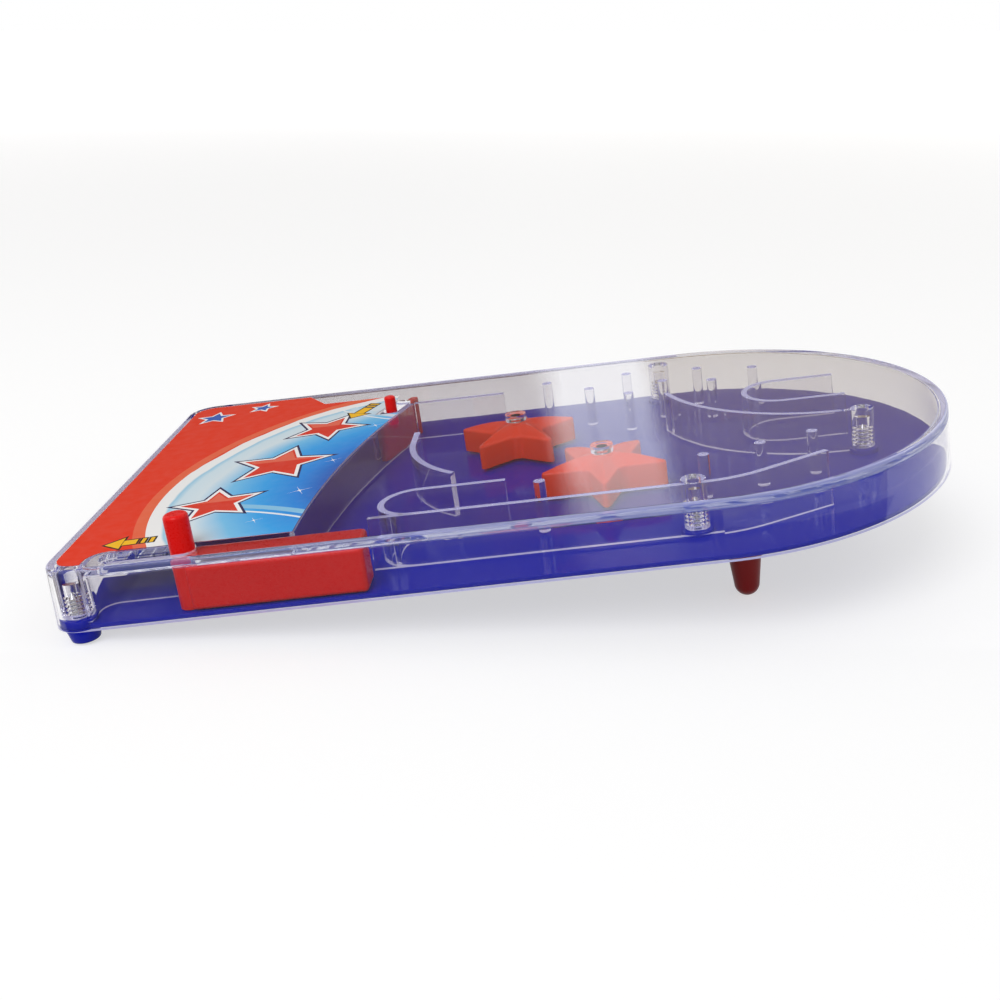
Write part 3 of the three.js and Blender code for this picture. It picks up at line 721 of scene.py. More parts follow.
# What is printed, in millimetres on the card. The picture is drawn from a curve that lies round a centre
CURVE_CENTRE = (92, -24)
CURVE_RADIUS = 74
CURVE_SQUEEZE = 0.86
CURVE_DEPTH = 46
CURVE_RIM = -3.2
STRIPES = [
    (0.0, "e8401a"), (0.001, "fbfbfa"), (0.085, "fbfbfa"), (0.1, "9fd4ee"), (0.14, "d7ecf6"),
    (0.26, "dfeef5"), (0.42, "78c8f4"), (0.62, "2fa8f2"), (0.85, "1c8ae4"), (1.0, "1a66c4"),
]
# Each arc: its centre, its inner and outer radius, how far inside the curve it starts, and its colour
ARCS = [
    ((118, 96), 74, 76.4, 4, "cfe9f7"),
    ((118, 96), 78.2, 78.9, 4, "f4fafd"),
    ((10, -128), 92.5, 93.4, 6, "f4fafd"),
    ((10, -128), 95, 97.6, 6, "8ccbee"),
]
GLINTS = [
    ((58, -30), 3.4), ((63, -6), 2.6), ((50, -50), 2.4),
    ((71, 25), 2.8), ((33, -58), 1.8), ((66, -44), 1.9),
]
GLINT_ANGLE = 0.4
GLINT_WIDTH = 0.09
# Each star: its centre, its turn and its radius. Each arrow: its tip, its heading and its length
PRINTED_STARS = [((36, -34), 0.5, 10.5), ((47, -4), 0.2, 13), ((55, 28), -0.1, 10.5)]
RED_FIELD_STARS = [((12, 55), 0.3, 5.2), ((27, 61), 0.1, 3.6)]
STAR_VALLEY = 0.46
STAR_LIT_FROM = 0.18
ARROWS = [((12.7, -56.6), math.pi + 0.06, 8.6), ((61.3, 36.4), math.pi + 1.17, 11)]
ARROW_HALF = 1.7
ARROW_HEAD = 4.8
ARROW_BARS = (2.2, 4.4)
ARROW_BAR = 1.2


def card_print():
    """The printed card: red fields, white and pale blue curved bands and a blue field with plain stars."""
    shade = Shade("card_print")
    flat = shade.drawing()
    x, y, _ = shade.parts(flat)
    grain = shade.noise(flat, 0.35, 4.0)
    drift = shade.noise(flat, 0.045, 2.0)
    inward = CURVE_RADIUS - from_centre(x, y, CURVE_CENTRE, CURVE_SQUEEZE)
    at = inward / CURVE_DEPTH + (drift - 0.5) * 0.1
    ramp = shade.node("ValToRGB", {"stops": [(stop, colour(text)) for stop, text in STRIPES]}, {0: at})
    picture = Layers(shade, ramp)
    picture.paint((inward > CURVE_RIM) & (inward < 0), "f26a45")
    picture.paint(inward < CURVE_RIM, "f0340e")
    for centre, inner, outer, start, text in ARCS:
        away = from_centre(x, y, centre)
        picture.paint((away > inner) & (away < outer) & (inward > start), text)
    for place, size in GLINTS:
        u, v = turned_to(x, y, place, GLINT_ANGLE)
        cross = (abs(u) * abs(v)).maths("POWER", 0.5)
        picture.paint((cross < GLINT_WIDTH * size) & ((u * u + v * v) < size * size), "ffffff")
    for centre, angle, radius in PRINTED_STARS:
        edge = star_edge(x, y, centre, angle, radius, radius * STAR_VALLEY)
        picture.paint(edge < 1.7, "1b1c54")
        picture.paint(edge < 1, "ffffff")
        picture.paint(edge < 0, "e2341c")
        picture.paint((edge < -0.6) & (y > centre[1] + radius * STAR_LIT_FROM), "ee6a50")
    for centre, angle, radius in RED_FIELD_STARS:
        edge = star_edge(x, y, centre, angle, radius, radius * STAR_VALLEY)
        picture.paint(edge < 0.7, "ffffff")
        picture.paint(edge < 0, "2a62c0")
    for tip, angle, length in ARROWS:
        edge = arrow_edge(x, y, tip, angle, length, ARROW_HALF, ARROW_HEAD)
        for gap in ARROW_BARS:
            start = length + gap
            edge = edge & bar_edge(x, y, tip, angle, -start, ARROW_BAR - start, ARROW_HALF)
        picture.paint(edge < 0.45, "14120e")
        picture.paint(edge < -0.1, "ffc414")
    paper = shade.blend(grain * 0.06, picture.wire, colour("f4f2ee"))
    return shade.done(shade.plastic({
        "Base Color": paper,
        "Roughness": grain * 0.08 + 0.08,
        "Specular IOR Level": 0.2,
        "Normal": shade.bump(grain, 0.01 * MM, 0.05),
    }))


CLEAR = clear_plastic()
BLUE = moulded("blue_moulding", "0a16a4", "1220ae", 0.08, 0.12)
RED = moulded("red_moulding", "e00602", "e6100a", 0.28, 0.2)
STAR_RED = moulded("star_red", "fb3c12", "ff441a", 0.25, 0.25)
LEG_RED = moulded("leg_red", "8a0202", "9a0606", 0.34, 0.25)
CARD = card_print()
BALL_STEEL = steel("ball_steel", "d8dadd", 0.05, 0.6)
SCREW_STEEL = steel("screw_steel", "c4c6ca", 0.2, 1.5)
WIRE_STEEL = steel("wire_steel", "a9abb0", 0.24, 2.0)


# The cover

def long_rail():
    """The long near rail with its bend and tail."""
    start_x = BLOCK_REAR - SIDE_GAP
    bend_x = 0.69 * CASE_LENGTH
    bend, angle, tail = 32 * MM, math.radians(28), 21 * MM
    moves = [("run", bend_x - start_x), ("bend", bend, angle), ("run", tail)]
    return rail("long_rail", (start_x, LONG_RAIL_Y), 0, moves)


def near_pocket():
    """The pocket whose bowl runs into the long rail."""
    radius, leg = 9.1 * MM, 23.2 * MM
    centre_x = BLOCK_REAR + radius + RAIL
    start = (centre_x + leg, LONG_RAIL_Y + 2 * radius)
    moves = [("run", leg), ("bend", radius, math.pi)]
    return rail("near_pocket", start, math.pi, moves)


def far_pocket():
    """The pocket at the round end."""
    radius, leg = 10.7 * MM, 18 * MM
    bowl_x, bowl_y = 0.8136 * CASE_LENGTH, 0.229 * HALF
    moves = [("run", leg), ("bend", radius, math.pi), ("run", leg)]
    return rail("far_pocket", (bowl_x + leg, bowl_y + radius), math.pi, moves)


def small_rail():
    """The small rail in front of the first star."""
    start = (0.353 * CASE_LENGTH, 0.2014 * HALF)
    straight, bend, angle = 10.7 * MM, 40.6 * MM, math.radians(50)
    return rail("small_rail", start, -math.pi / 2, [("run", straight), ("bend", bend, angle)])


def sweep_rail():
    """The rail that sweeps round to the boss near the round end."""
    centre = Vector((0.8736 * CASE_LENGTH, 0.5556 * HALF))
    out = BOSS_PLACES[3] - centre
    begin = math.pi + math.radians(15)
    end = math.atan2(out.y, out.x) + 2 * math.pi
    start = centre + Vector((math.cos(begin), math.sin(begin))) * out.length
    return rail("sweep_rail", start, begin + math.pi / 2, [("bend", out.length, end - begin)])


def far_rail():
    """The straight far rail, from the head of the arched wall."""
    reach = math.sqrt(ARCH_RADIUS ** 2 - (FAR_RAIL_Y - GUIDE_Y) ** 2)
    start_x = ARCH_START + ARCH_RADIUS - reach
    end_x = 0.456 * CASE_LENGTH
    return rail("far_rail", (start_x, FAR_RAIL_Y), 0, [("run", end_x - start_x)])


def guide():
    """The guide beside the shooter block, round the front of its channel."""
    start_y = -(INNER_HALF + SINK)
    moves = [
        ("run", GUIDE_Y - GUIDE_CORNER - start_y),
        ("bend", GUIDE_CORNER, -math.pi / 2),
        ("run", ARCH_START - GUIDE_FRONT - GUIDE_CORNER),
    ]
    return rail("guide", (GUIDE_FRONT, start_y), math.pi / 2, moves, GUIDE)


def arch():
    """The arched wall that the ball rolls home along."""
    middle = ARCH_RADIUS + ARCH / 2
    rise = math.asin((FAR_RAIL_Y - GUIDE_Y) / middle)
    start = (ARCH_START - ARCH / 2, GUIDE_Y)
    return rail("arch", start, math.pi / 2, [("bend", middle, -rise)], ARCH, math.radians(1))


def gate_rib():
    """The straight rib in front of the gate."""
    offset = GATE_THICKNESS / 2 + GATE_GAP + GUIDE / 2
    across = Vector((-GATE_ALONG.y, GATE_ALONG.x))
    start = GATE_PLACE - GATE_ALONG * GATE_BEHIND + across * offset
    return rail("gate_rib", start, math.pi / 2 - GATE_ANGLE, [("run", GATE_BEHIND + GATE_TRAVEL)], GUIDE)


def drafted(piece, high, steps):
    """Draws a case block in towards its top and rounds the top edge."""
    pick(piece, "FACE", lambda face: face.normal.z > UPWARDS)
    bpy.ops.transform.resize(
        value=(1 - 2 * DRAFT / CASE_LENGTH, 1 - 2 * DRAFT / CASE_WIDTH, 1),
        center_override=(CASE_LENGTH / 2, 0, high))
    bpy.ops.mesh.region_to_loop()
    rounded(TOP_ROUND, steps)
    return finished(piece)


def shell():
    """The plate and the wall, with their draft and rounded top edge."""
    outer = drafted(case_block("clear_cover", 0, 0, CASE_HEIGHT), CASE_HEIGHT, 5)
    inner = drafted(case_block("hollow", WALL, -OVERRUN, CEILING), CEILING, 3)
    return boolean(outer, inner, "DIFFERENCE")


def cover():
    """The clear cover in one moulding: shell, rails, pegs, bosses and star posts."""
    piece = shell()
    rails = (long_rail, near_pocket, far_pocket, small_rail, sweep_rail, far_rail, guide, arch, gate_rib)
    for make in rails:
        piece = boolean(piece, make(), "UNION")
    high = CEILING + SINK
    places = [Vector((length * CASE_LENGTH, width * HALF)) for length, width in PEG_SHARES]
    pegs = [eased(post("peg", place, PEG_RADIUS, RAIL_LOW, high, 32), EDGE_EASE, 1) for place in places]
    piece = boolean(piece, joined(pegs, "pegs"), "UNION")
    bosses = [
        eased(post("boss", place, BOSS_RADIUS, BOSS_LOW, high), EDGE_EASE, 1)
        for place in BOSS_PLACES
    ]
    piece = boolean(piece, joined(bosses, "bosses"), "UNION")
    piece = boolean(piece, joined([tapped_bore(place) for place in BOSS_PLACES], "bores"), "DIFFERENCE")
    for place, _ in STAR_PLACES:
        piece = boolean(piece, post("collar", place, STAR_COLLAR, STAR_TOP + FIT, high), "UNION")
        piece = boolean(piece, post("star_post", place, STAR_POST, FLOOR + FIT, high, 32), "UNION")
    shooter_slot = stadium(
        "shooter_slot", PIN_PLACE, Vector((-1, 0)), SHOOTER_TRAVEL, 2 * (PIN_RADIUS + FIT),
        CEILING - OVERRUN, CASE_HEIGHT + OVERRUN)
    piece = boolean(piece, shooter_slot, "DIFFERENCE")
    gate_slot = stadium(
        "gate_slot", GATE_PLACE - GATE_ALONG * FIT, GATE_ALONG, GATE_TRAVEL + 2 * FIT, GATE_SLOT,
        CEILING - FIT, CASE_HEIGHT + OVERRUN)
    piece = boolean(piece, gate_slot, "DIFFERENCE")
    piece = boolean(piece, card_recess(), "DIFFERENCE")
    smooth(piece, angle=20)
    return set_up(piece, "case", ["clear_cover"], CLEAR)


def tapped_bore(place):
    """A screw's bore with the rings of its thread in the lower half."""
    profile = [(BORE_RADIUS, BOSS_LOW - OVERRUN)]
    level = BOSS_LOW + SINK
    for _ in range(BORE_RINGS):
        profile += [(BORE_RADIUS, level), (BORE_RADIUS + RING_DEPTH, level + SCREW_PITCH / 2)]
        level += SCREW_PITCH
    profile += [(BORE_RADIUS, level), (BORE_RADIUS, BORE_TOP)]
    return turned("bore", place, profile, 32)


def card_recess():
    """The recess that holds the card, drawn from the card's own solid and a little larger."""
    room = (1.003, 1.002, 1)
    node = frame["nodes"]["printed_card"]
    alone(node)
    bpy.ops.object.duplicate()
    piece = bpy.context.object
    piece.parent = None
    piece.hide_render = False
    piece.matrix_world = stand.inverted()
    piece = outward(settled("card_recess"))
    pick(piece, "FACE", lambda face: True)
    bpy.ops.mesh.dissolve_limited(angle_limit=math.radians(1))
    middle = (cad_middle(node).x, cad_middle(node).y, CASE_HEIGHT)
    bpy.ops.transform.resize(value=room, center_override=middle)
    finished(piece)
    pick(piece, "FACE", lambda face: face.normal.z > UPWARDS)
    bpy.ops.transform.translate(value=(0, 0, OVERRUN))
    finished(piece)
    pick(piece, "FACE", lambda face: face.normal.z < -UPWARDS)
    bpy.ops.transform.translate(value=(0, 0, -FIT / 2))
    return finished(piece)


def cad_middle(node):
    """The middle of a CAD node in the flat drawing."""
    places = [stand.inverted() @ vertex.co for vertex in node.data.vertices]
    low = Vector([min(p[i] for p in places) for i in range(3)])
    high = Vector([max(p[i] for p in places) for i in range(3)])
    return (low + high) / 2


def base():
    """The blue base with its screw crowns, feet, leg sockets, locating rings and the spring's stop."""
    piece = eased(case_block("base_plate", WALL + FIT, 0, FLOOR), FLOOR_EASE)
    crown_radius = SCREW_HEAD + FIT + CROWN_WALL
    for place in BOSS_PLACES:
        crown = eased(post("crown", place, crown_radius, SINK, CROWN_TOP), EDGE_EASE)
        piece = boolean(piece, crown, "UNION")
    for place in BOSS_PLACES[:2]:
        foot = [(FOOT_ROOT, SINK), (FOOT_ROOT, 0), *round_over(FOOT_TIP, -FOOT_HEIGHT, FOOT_ROUND, -1)]
        piece = boolean(piece, turned("foot", place, foot), "UNION")
    for place in BOSS_PLACES:
        head_bore = post("head_bore", place, SCREW_HEAD + FIT, -FOOT_HEIGHT - OVERRUN, SCREW_SEAT)
        piece = boolean(piece, head_bore, "DIFFERENCE")
        bore = post("bore", place, SCREW_CORE + FIT, 0, CROWN_TOP + OVERRUN, 32)
        piece = boolean(piece, bore, "DIFFERENCE")
    for side in (-1, 1):
        place = Vector((LEG_X, side * LEG_Y))
        hole_radius = LEG_ROOT + FIT
        socket = eased(post("socket", place, hole_radius + SOCKET_WALL, -SOCKET_DEPTH, SINK), EDGE_EASE)
        hole = post("hole", place, hole_radius, -SOCKET_DEPTH - OVERRUN, 0)
        spigot = post("spigot", place, LEG_SPIGOT, -LEG_SPIGOT_DEPTH, SINK)
        piece = boolean(piece, socket, "UNION")
        piece = boolean(piece, hole, "DIFFERENCE")
        piece = boolean(piece, spigot, "UNION")
    for place, _ in STAR_PLACES:
        ring = post("ring", place, STAR_COLLAR, FLOOR - SINK, FLOOR + STAR_RING_RISE)
        ring = boolean(ring, post("hole", place, STAR_POST + FIT, FLOOR, CEILING, 32), "DIFFERENCE")
        piece = boolean(piece, ring, "UNION")
    stop_half = BLOCK_WIDTH / 2 - BLOCK_WALL - FIT
    stop_top = GLIDE + BLOCK_HEIGHT - BLOCK_WALL - STOP_DROP
    stop_low = (STOP_FRONT, SPRING_Y - stop_half, FLOOR - SINK)
    stop_high = (STOP_FRONT + STOP_DEPTH, SPRING_Y + stop_half, stop_top)
    piece = boolean(piece, eased(block("stop", stop_low, stop_high), EDGE_EASE), "UNION")
    spigot_front = STOP_FRONT + STOP_DEPTH / 2
    spigot_rear = STOP_FRONT + STOP_DEPTH + SPRING_SPIGOT_LENGTH
    spigot = lying("spigot", spigot_front, spigot_rear, SPRING_Y, BLOCK_MIDDLE, SPRING_SPIGOT)
    piece = boolean(piece, spigot, "UNION")
    smooth(piece)
    return set_up(piece, "case", ["base_plate"], BLUE)


def shooter():
    """The hollow red block and its finger pin."""
    high = GLIDE + BLOCK_HEIGHT
    piece = block("shooter_block", (BLOCK_FRONT, BLOCK_NEAR, GLIDE), (BLOCK_REAR, BLOCK_FAR, high))
    piece = eased(piece, BLOCK_ROUND, 4)
    low = (BLOCK_FRONT + BLOCK_WALL, BLOCK_NEAR + BLOCK_WALL, GLIDE - OVERRUN)
    top = (BLOCK_REAR - BLOCK_WALL, BLOCK_FAR - BLOCK_WALL, high - BLOCK_WALL)
    tip = CASE_HEIGHT + PIN_RISE
    profile = [(PIN_RADIUS, GLIDE), *round_over(PIN_RADIUS, tip, PIN_RADIUS / 3, 1)]
    piece = boolean(piece, turned("pin", PIN_PLACE, profile), "UNION")
    piece = boolean(piece, block("hollow", low, top), "DIFFERENCE")
    rear = BLOCK_REAR - BLOCK_WALL / 2
    spigot = lying("spigot", rear - SPRING_SPIGOT_LENGTH, rear, SPRING_Y, BLOCK_MIDDLE, SPRING_SPIGOT)
    piece = boolean(piece, spigot, "UNION")
    smooth(piece)
    return set_up(piece, "shooter", ["shooter_block"], RED)


def gate():
    """The red gate and its finger pin."""
    high = CEILING - FIT - SIDE_GAP
    start = GATE_PLACE - GATE_ALONG * (GATE_BEHIND - GATE_THICKNESS / 2)
    length = GATE_BEHIND + GATE_AHEAD - GATE_THICKNESS
    piece = stadium("lane_gate", start, GATE_ALONG, length, GATE_THICKNESS, GLIDE, high)
    piece = eased(piece, GATE_THICKNESS / 5, 3)
    profile = [(GATE_PIN, high - SINK), *round_over(GATE_PIN, CASE_HEIGHT + GATE_RISE, GATE_PIN / 3, 1)]
    piece = boolean(piece, turned("pin", GATE_PLACE, profile), "UNION")
    smooth(piece)
    return set_up(piece, "gate", ["lane_gate"], RED)


def star(number, place, heading):
    """A five-pointed star with rounded valleys and tips, crowned up to the hub that turns on its post."""
    bpy.ops.mesh.primitive_circle_add(
        vertices=2 * STAR_POINTS, radius=STAR_REACH, fill_type="NGON",
        location=(place.x, place.y, STAR_LOW), rotation=(0, 0, heading - math.pi / 2))
    piece = settled(f"star_bumper_{number}")
    middle = place.to_3d()

    def in_valley(vertex):
        away = vertex.co - middle
        return math.cos(STAR_POINTS * (math.atan2(away.y, away.x) - heading)) < 0

    pick(piece, "VERT", in_valley)
    share = STAR_INNER / STAR_REACH
    bpy.ops.transform.resize(value=(share, share, 1), center_override=(place.x, place.y, STAR_LOW))
    rounded(STAR_VALLEY_EASE, 8, "VERTICES")
    finished(piece)
    pick(piece, "VERT", lambda vertex: (vertex.co - middle).xy.length > STAR_REACH - SINK)
    rounded(STAR_TIP_EASE, 8, "VERTICES")
    finished(piece)
    pick(piece, "FACE", lambda face: True)
    bpy.ops.mesh.extrude_region_move(TRANSFORM_OT_translate={"value": (0, 0, STAR_SHOULDER - STAR_LOW)})
    bpy.ops.mesh.region_to_loop()
    rounded(STAR_ROUND, 4)
    finished(piece)
    outward(piece)
    pick(piece, "FACE", lambda face: face.normal.z > LEVEL and face.calc_area() > FLAT_AREA)
    steps, size, level = 8, 1, STAR_SHOULDER
    for i in range(1, steps + 1):
        next_size = 1 - i / steps * (1 - STAR_HUB / STAR_TIP)
        next_level = STAR_SHOULDER + (STAR_TOP - STAR_SHOULDER) * math.sin(i / steps * math.pi / 2)
        bpy.ops.mesh.extrude_region_move(TRANSFORM_OT_translate={"value": (0, 0, next_level - level)})
        share = next_size / size
        bpy.ops.transform.resize(value=(share, share, 1), center_override=(place.x, place.y, next_level))
        size, level = next_size, next_level
    finished(piece)
    outward(piece)
    hub = eased(post("hub", place, STAR_HUB, STAR_LOW + SINK, STAR_TOP), EDGE_EASE)
    piece = boolean(piece, hub, "UNION")
    bore = post("bore", place, STAR_POST + FIT, STAR_LOW - OVERRUN, STAR_TOP + OVERRUN)
    piece = boolean(piece, bore, "DIFFERENCE")
    smooth(piece, angle=30)
    return set_up(piece, f"star_{number}", [f"star_bumper_{number}"], STAR_RED)


def ball():
    """The steel ball at home: a finely divided cube cast to a sphere."""
    low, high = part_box("steel_ball")
    bpy.ops.mesh.primitive_cube_add(size=BALL_RADIUS, location=stand.inverted() @ ((low + high) / 2))
    piece = bpy.context.object
    pick(piece, "FACE", lambda face: True)
    bpy.ops.mesh.subdivide(number_cuts=23)
    finished(piece)
    modifier = piece.modifiers.new("cast", "CAST")
    modifier.factor = 1
    modifier.size = BALL_RADIUS
    modifier.use_radius_as_size = False
    bpy.ops.object.modifier_apply(modifier="cast")
    piece = settled("steel_ball")
    bpy.ops.object.shade_smooth()
    return set_up(piece, "ball", ["steel_ball"], BALL_STEEL)


def screw(number, place):
    """A self-tapping screw: pan head with a cross recess, core, point and a thread wound round it."""
    head_high = SCREW_HEAD_LOW + SCREW_HEAD_HEIGHT
    tip = head_high + SCREW_LENGTH
    pan = [(0.7, 0), (0.92, 0.2 * MM), (1, 0.5 * MM)]
    profile = [(SCREW_HEAD * share, SCREW_HEAD_LOW + rise) for share, rise in pan]
    profile += [
        (SCREW_HEAD, head_high), (SCREW_CORE, head_high), (SCREW_CORE, tip - SCREW_TIP), (SCREW_POINT, tip),
    ]
    piece = turned(f"cover_screw_{number}", place, profile, 32)
    for length, width in ((RECESS_LENGTH, RECESS_WIDTH), (RECESS_WIDTH, RECESS_LENGTH)):
        half = Vector((length / 2, width / 2, 0))
        low = place.to_3d() - half + Vector((0, 0, SCREW_HEAD_LOW - OVERRUN))
        high = place.to_3d() + half + Vector((0, 0, SCREW_HEAD_LOW + RECESS_DEPTH))
        piece = boolean(piece, block("recess", low, high), "DIFFERENCE")
    thread = thread_round(place, head_high + SCREW_PITCH, tip - SCREW_TIP)
    piece = joined([piece, thread], f"cover_screw_{number}")
    smooth(piece)
    return set_up(piece, "case", [f"cover_screw_{number}"], SCREW_STEEL)


def thread_round(place, low, high):
    """The thread: a small upright triangle screwed up round the core."""
    size = (SCREW_THREAD - SCREW_CORE) * 0.9
    bpy.ops.mesh.primitive_circle_add(
        vertices=3, radius=size, location=(SCREW_THREAD - size, 0, 0),
        rotation=(math.pi / 2, math.pi / 2, 0))
    piece = settled("thread")
    modifier = piece.modifiers.new("screw", "SCREW")
    modifier.axis = "Z"
    modifier.screw_offset = SCREW_PITCH
    modifier.iterations = int((high - low) / SCREW_PITCH)
    modifier.steps = modifier.render_steps = 28
    bpy.ops.object.modifier_apply(modifier="screw")
    pick(piece, "EDGE", lambda edge: edge.is_boundary)
    bpy.ops.mesh.fill_holes(sides=3)
    bpy.ops.mesh.select_all(action="SELECT")
    bpy.ops.transform.translate(value=(place.x, place.y, low))
    finished(piece)
    return outward(piece)


def spring():
    """The spring inside the block: one unbroken wire with closed end turns."""
    front = STOP_FRONT + STOP_DEPTH + FIT
    rear = BLOCK_REAR - BLOCK_WALL - FIT
    span = rear - front - SPRING_WIRE
    open_pitch = (span - 2 * SPRING_CLOSED_PITCH) / (SPRING_TURNS - 2)
    curve = bpy.data.curves.new("shooter_spring", "CURVE")
    curve.dimensions = "3D"
    curve.bevel_depth = SPRING_WIRE / 2
    curve.bevel_resolution = 3
    curve.use_fill_caps = True
    line = curve.splines.new("POLY")
    steps = 32
    line.points.add(SPRING_TURNS * steps)
    for i, point in enumerate(line.points):
        at = i / steps
        along = min(at, 1) * SPRING_CLOSED_PITCH
        along += max(0, min(at, SPRING_TURNS - 1) - 1) * open_pitch
        along += max(0, at - (SPRING_TURNS - 1)) * SPRING_CLOSED_PITCH
        angle = 2 * math.pi * at
        point.co = (
            front + SPRING_WIRE / 2 + along, SPRING_Y + SPRING_RADIUS * math.cos(angle),
            BLOCK_MIDDLE + SPRING_RADIUS * math.sin(angle), 1)
    piece = bpy.data.objects.new("shooter_spring", curve)
    bpy.context.scene.collection.objects.link(piece)
    alone(piece)
    bpy.ops.object.convert(target="MESH")
    piece = bpy.context.object
    bpy.ops.object.shade_smooth()
    set_up(piece, "case", ["shooter_spring"], WIRE_STEEL)
    fixed = stand @ Vector((front, SPRING_Y, BLOCK_MIDDLE))
    keep = (rear - front - SHOOTER_TRAVEL) / (rear - front)
    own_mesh(piece)
    return piece


def leg(name, side):
    """A tapered rear leg with a round tip."""
    place = Vector((LEG_X, side * LEG_Y))
    foot_reach = 4.4 * MM
    foot_drop = foot_reach * math.sin(tilt) - FOOT_HEIGHT * math.cos(tilt)
    tip = (foot_drop + LEG_TIP - LEG_X * math.sin(tilt)) / math.cos(tilt)
    steps, blunt = 8, 0.3
    angles = [math.pi / 2 * i / (steps + blunt) for i in range(steps + 1)]
    round_tip = [(LEG_TIP * math.cos(angle), tip - LEG_TIP * math.sin(angle)) for angle in angles]
    profile = [(LEG_ROOT, -FIT), (LEG_ROOT, -SOCKET_DEPTH), *round_tip]
    piece = turned(name, place, profile, 48)
    hole = post("hole", place, LEG_SPIGOT + FIT, -(LEG_SPIGOT_DEPTH + FIT), OVERRUN, 32)
    piece = boolean(piece, hole, "DIFFERENCE")
    smooth(piece)
    return set_up(piece, "case", [name], LEG_RED)


cover()
base()
shooter()
spring()
gate()
for number, (place, heading) in enumerate(STAR_PLACES, 1):
    star(number, place, heading)
ball()
for number, place in enumerate(BOSS_PLACES, 1):
    screw(number, place)
leg("rear_leg_near", -1)
leg("rear_leg_far", 1)
card = frame["nodes"]["printed_card"]
card.data.materials.clear()
card.data.materials.append(CARD)


# Floor, light and camera

def backdrop_rays(tree):
    """1 for a ray that shows the background to the camera, straight or through metal or glass, else 0."""
    path = tree.nodes.new("ShaderNodeLightPath")
    seen = path.outputs["Is Camera Ray"]
    for ray in ("Is Glossy Ray", "Is Transmission Ray"):
        both = tree.nodes.new("ShaderNodeMath")
        both.operation = "MAXIMUM"
        tree.links.new(seen, both.inputs[0])
        tree.links.new(path.outputs[ray], both.inputs[1])
        seen = both.outputs[0]
    return seen


def floor():
    """A plain white floor. It glows a little for what shows the background, so that it is white up to the
    shadow and stays white far off, where the lamps don't reach."""
    size, glow_near, glow_more, near, far = 30, 0.58, 0.34, 0.4, 3
    bpy.ops.mesh.primitive_plane_add(size=size)
    piece = settled("floor")
    shade = Shade("floor")
    seen = Wire(shade, backdrop_rays(shade.tree))
    place = shade.node("TexCoord", output="Object")
    away = shade.node("VectorMath", {"operation": "LENGTH"}, {0: place}, output="Value")
    glow = seen * (shade.fade(away, near, far) * glow_more + glow_near)
    white = shade.plastic({
        "Base Color": colour("b4b4b4"),
        "Roughness": 0.7,
        "Specular IOR Level": 0.2,
        "Emission Color": shade.node("CombineColor", inputs={0: glow, 1: glow, 2: glow}),
        "Emission Strength": 1.0,
    })
    piece.data.materials.append(shade.done(white))


def screen(name, left, right, fade, text):
    """A studio screen behind the game that the clear plastic mirrors, with sides that fade. The camera
    looks straight through it."""
    low, high, back = 0.2, 0.92, 1.8
    bpy.ops.mesh.primitive_plane_add(
        size=1, location=((left + right) / 2, back, (low + high) / 2), rotation=(math.pi / 2, 0, 0))
    bpy.context.object.scale = (right - left, high - low, 1)
    piece = settled(name)
    shade = Shade(name)
    cloth = shade.plastic({"Base Color": colour(text), "Roughness": 0.9})
    place = shade.node("TexCoord", output="Object")
    across, _, _ = shade.parts(place)
    fold = shade.noise(place, 9.0, 2.0) * 0.05 - 0.025
    within = abs(across + fold - (left + right) / 2) - (right - left) / 2
    straight = shade.node("LightPath", output="Is Camera Ray") | shade.fade(within, -fade, 0)
    unseen = shade.node("BsdfTransparent")
    piece.data.materials.append(shade.done(shade.mixed(straight, cloth, unseen)))


def front_cloth():
    """A grey cloth on the table in front of the game, with fading edges. Only glossy surfaces show it."""
    length, width, rear_edge, level = 1.6, 0.6, -0.074, 0.5 * MM
    bpy.ops.mesh.primitive_plane_add(size=1, location=(0, rear_edge - width / 2, level))
    bpy.context.object.scale = (length, width, 1)
    piece = settled("front_cloth")
    shade = Shade("front_cloth")
    cloth = shade.plastic({"Base Color": colour("989494"), "Roughness": 0.9})
    x, y, _ = shade.parts(shade.node("TexCoord", output="Object"))
    ends = shade.fade(abs(x), length / 2, length / 4)
    front = shade.fade(y, rear_edge - width, rear_edge - width / 2)
    share = shade.node("LightPath", output="Is Glossy Ray") * ends * front
    unseen = shade.node("BsdfTransparent")
    piece.data.materials.append(shade.done(shade.mixed(share, unseen, cloth)))


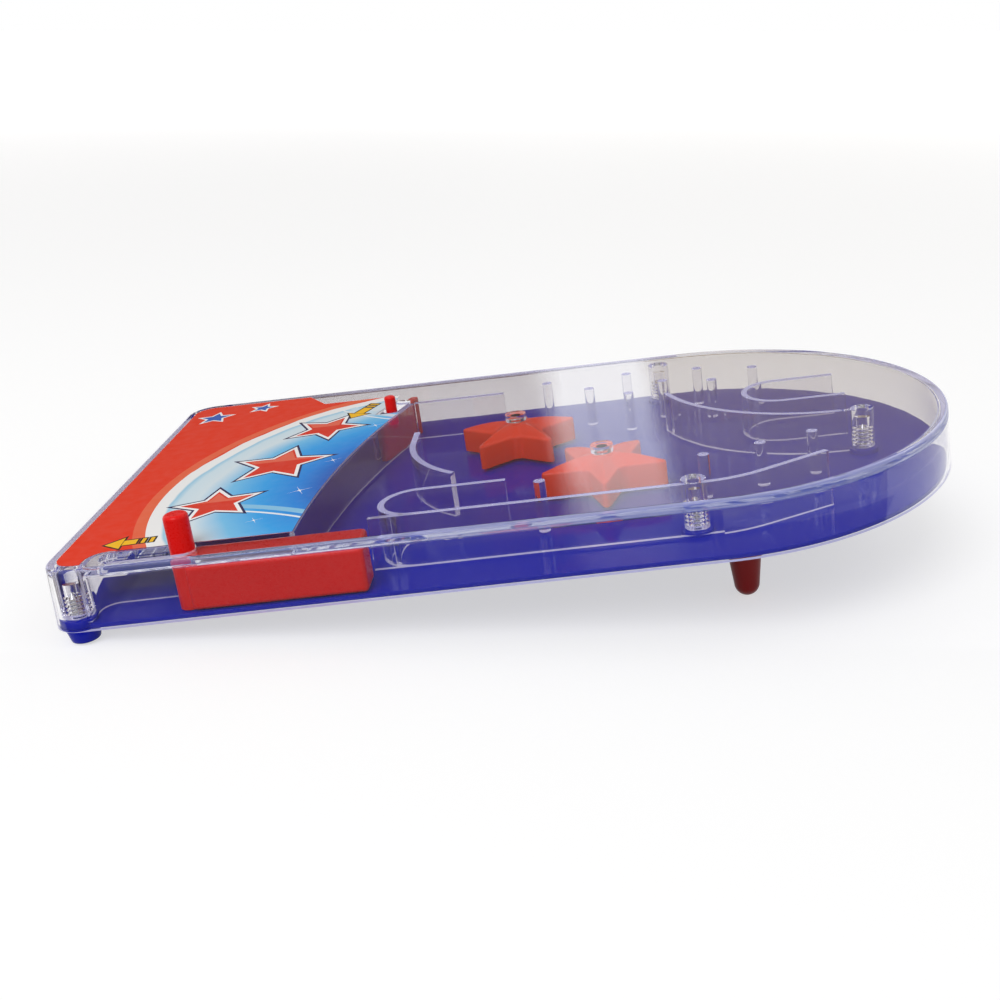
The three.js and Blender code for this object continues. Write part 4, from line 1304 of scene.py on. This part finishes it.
def softbox(name, place, aim, size, power):
    """A rectangular soft lamp that looks at a point."""
    data = bpy.data.lights.new(name, "AREA")
    data.shape = "RECTANGLE"
    data.size, data.size_y = size
    data.energy = power
    lamp = bpy.data.objects.new(name, data)
    lamp.location = place
    lamp.rotation_euler = (Vector(aim) - Vector(place)).to_track_quat("-Z", "Y").to_euler()
    bpy.context.scene.collection.objects.link(lamp)


def world():
    """An even pale sky."""
    sky = bpy.data.worlds.new("sky")
    sky.use_nodes = True
    tree = sky.node_tree
    background = tree.nodes["Background"]
    background.inputs["Color"].default_value = (1, 1, 1, 1)
    strength = tree.nodes.new("ShaderNodeMapRange")
    strength.inputs["To Min"].default_value = 0.5
    strength.inputs["To Max"].default_value = 1
    tree.links.new(backdrop_rays(tree), strength.inputs["Value"])
    tree.links.new(strength.outputs["Result"], background.inputs["Strength"])
    bpy.context.scene.world = sky


def camera():
    """The camera at the photograph's place, found in the flat drawing."""
    place = Vector((147.032, -365.855, 130.669)) * MM
    right = Vector((0.99356883, -0.00995361, -0.11279145))
    up = Vector((0.11046265, 0.30408149, 0.94622009))
    axes = Matrix((right, up, right.cross(up))).transposed().to_4x4()
    data = bpy.data.cameras.new("camera")
    data.lens = 46.8
    data.sensor_width = 36
    data.shift_x = -0.0872
    data.shift_y = -0.0670
    data.clip_start = 0.01
    data.clip_end = 20
    viewer = bpy.data.objects.new("camera", data)
    viewer.matrix_world = stand @ Matrix.Translation(place) @ axes
    bpy.context.scene.collection.objects.link(viewer)
    bpy.context.scene.camera = viewer


floor()
screen("dark_screen", -1.65, -0.12, 0.07, "8a6a5e")
screen("pale_screen", 0.0, 0.9, 0.06, "d6c2a0")
front_cloth()
world()
softbox("key", (-0.45, -0.9, 1.15), (0, 0, 0), (1, 1), 12)
softbox("side", (1.1, 0.3, 1.3), (0, 0, 0), (0.8, 0.8), 2)
camera()
BOUNCES = 24
scene = bpy.context.scene
scene.view_settings.view_transform = "Standard"
scene.cycles.max_bounces = BOUNCES
scene.cycles.transmission_bounces = BOUNCES
scene.cycles.glossy_bounces = BOUNCES
scene.cycles.transparent_max_bounces = BOUNCES
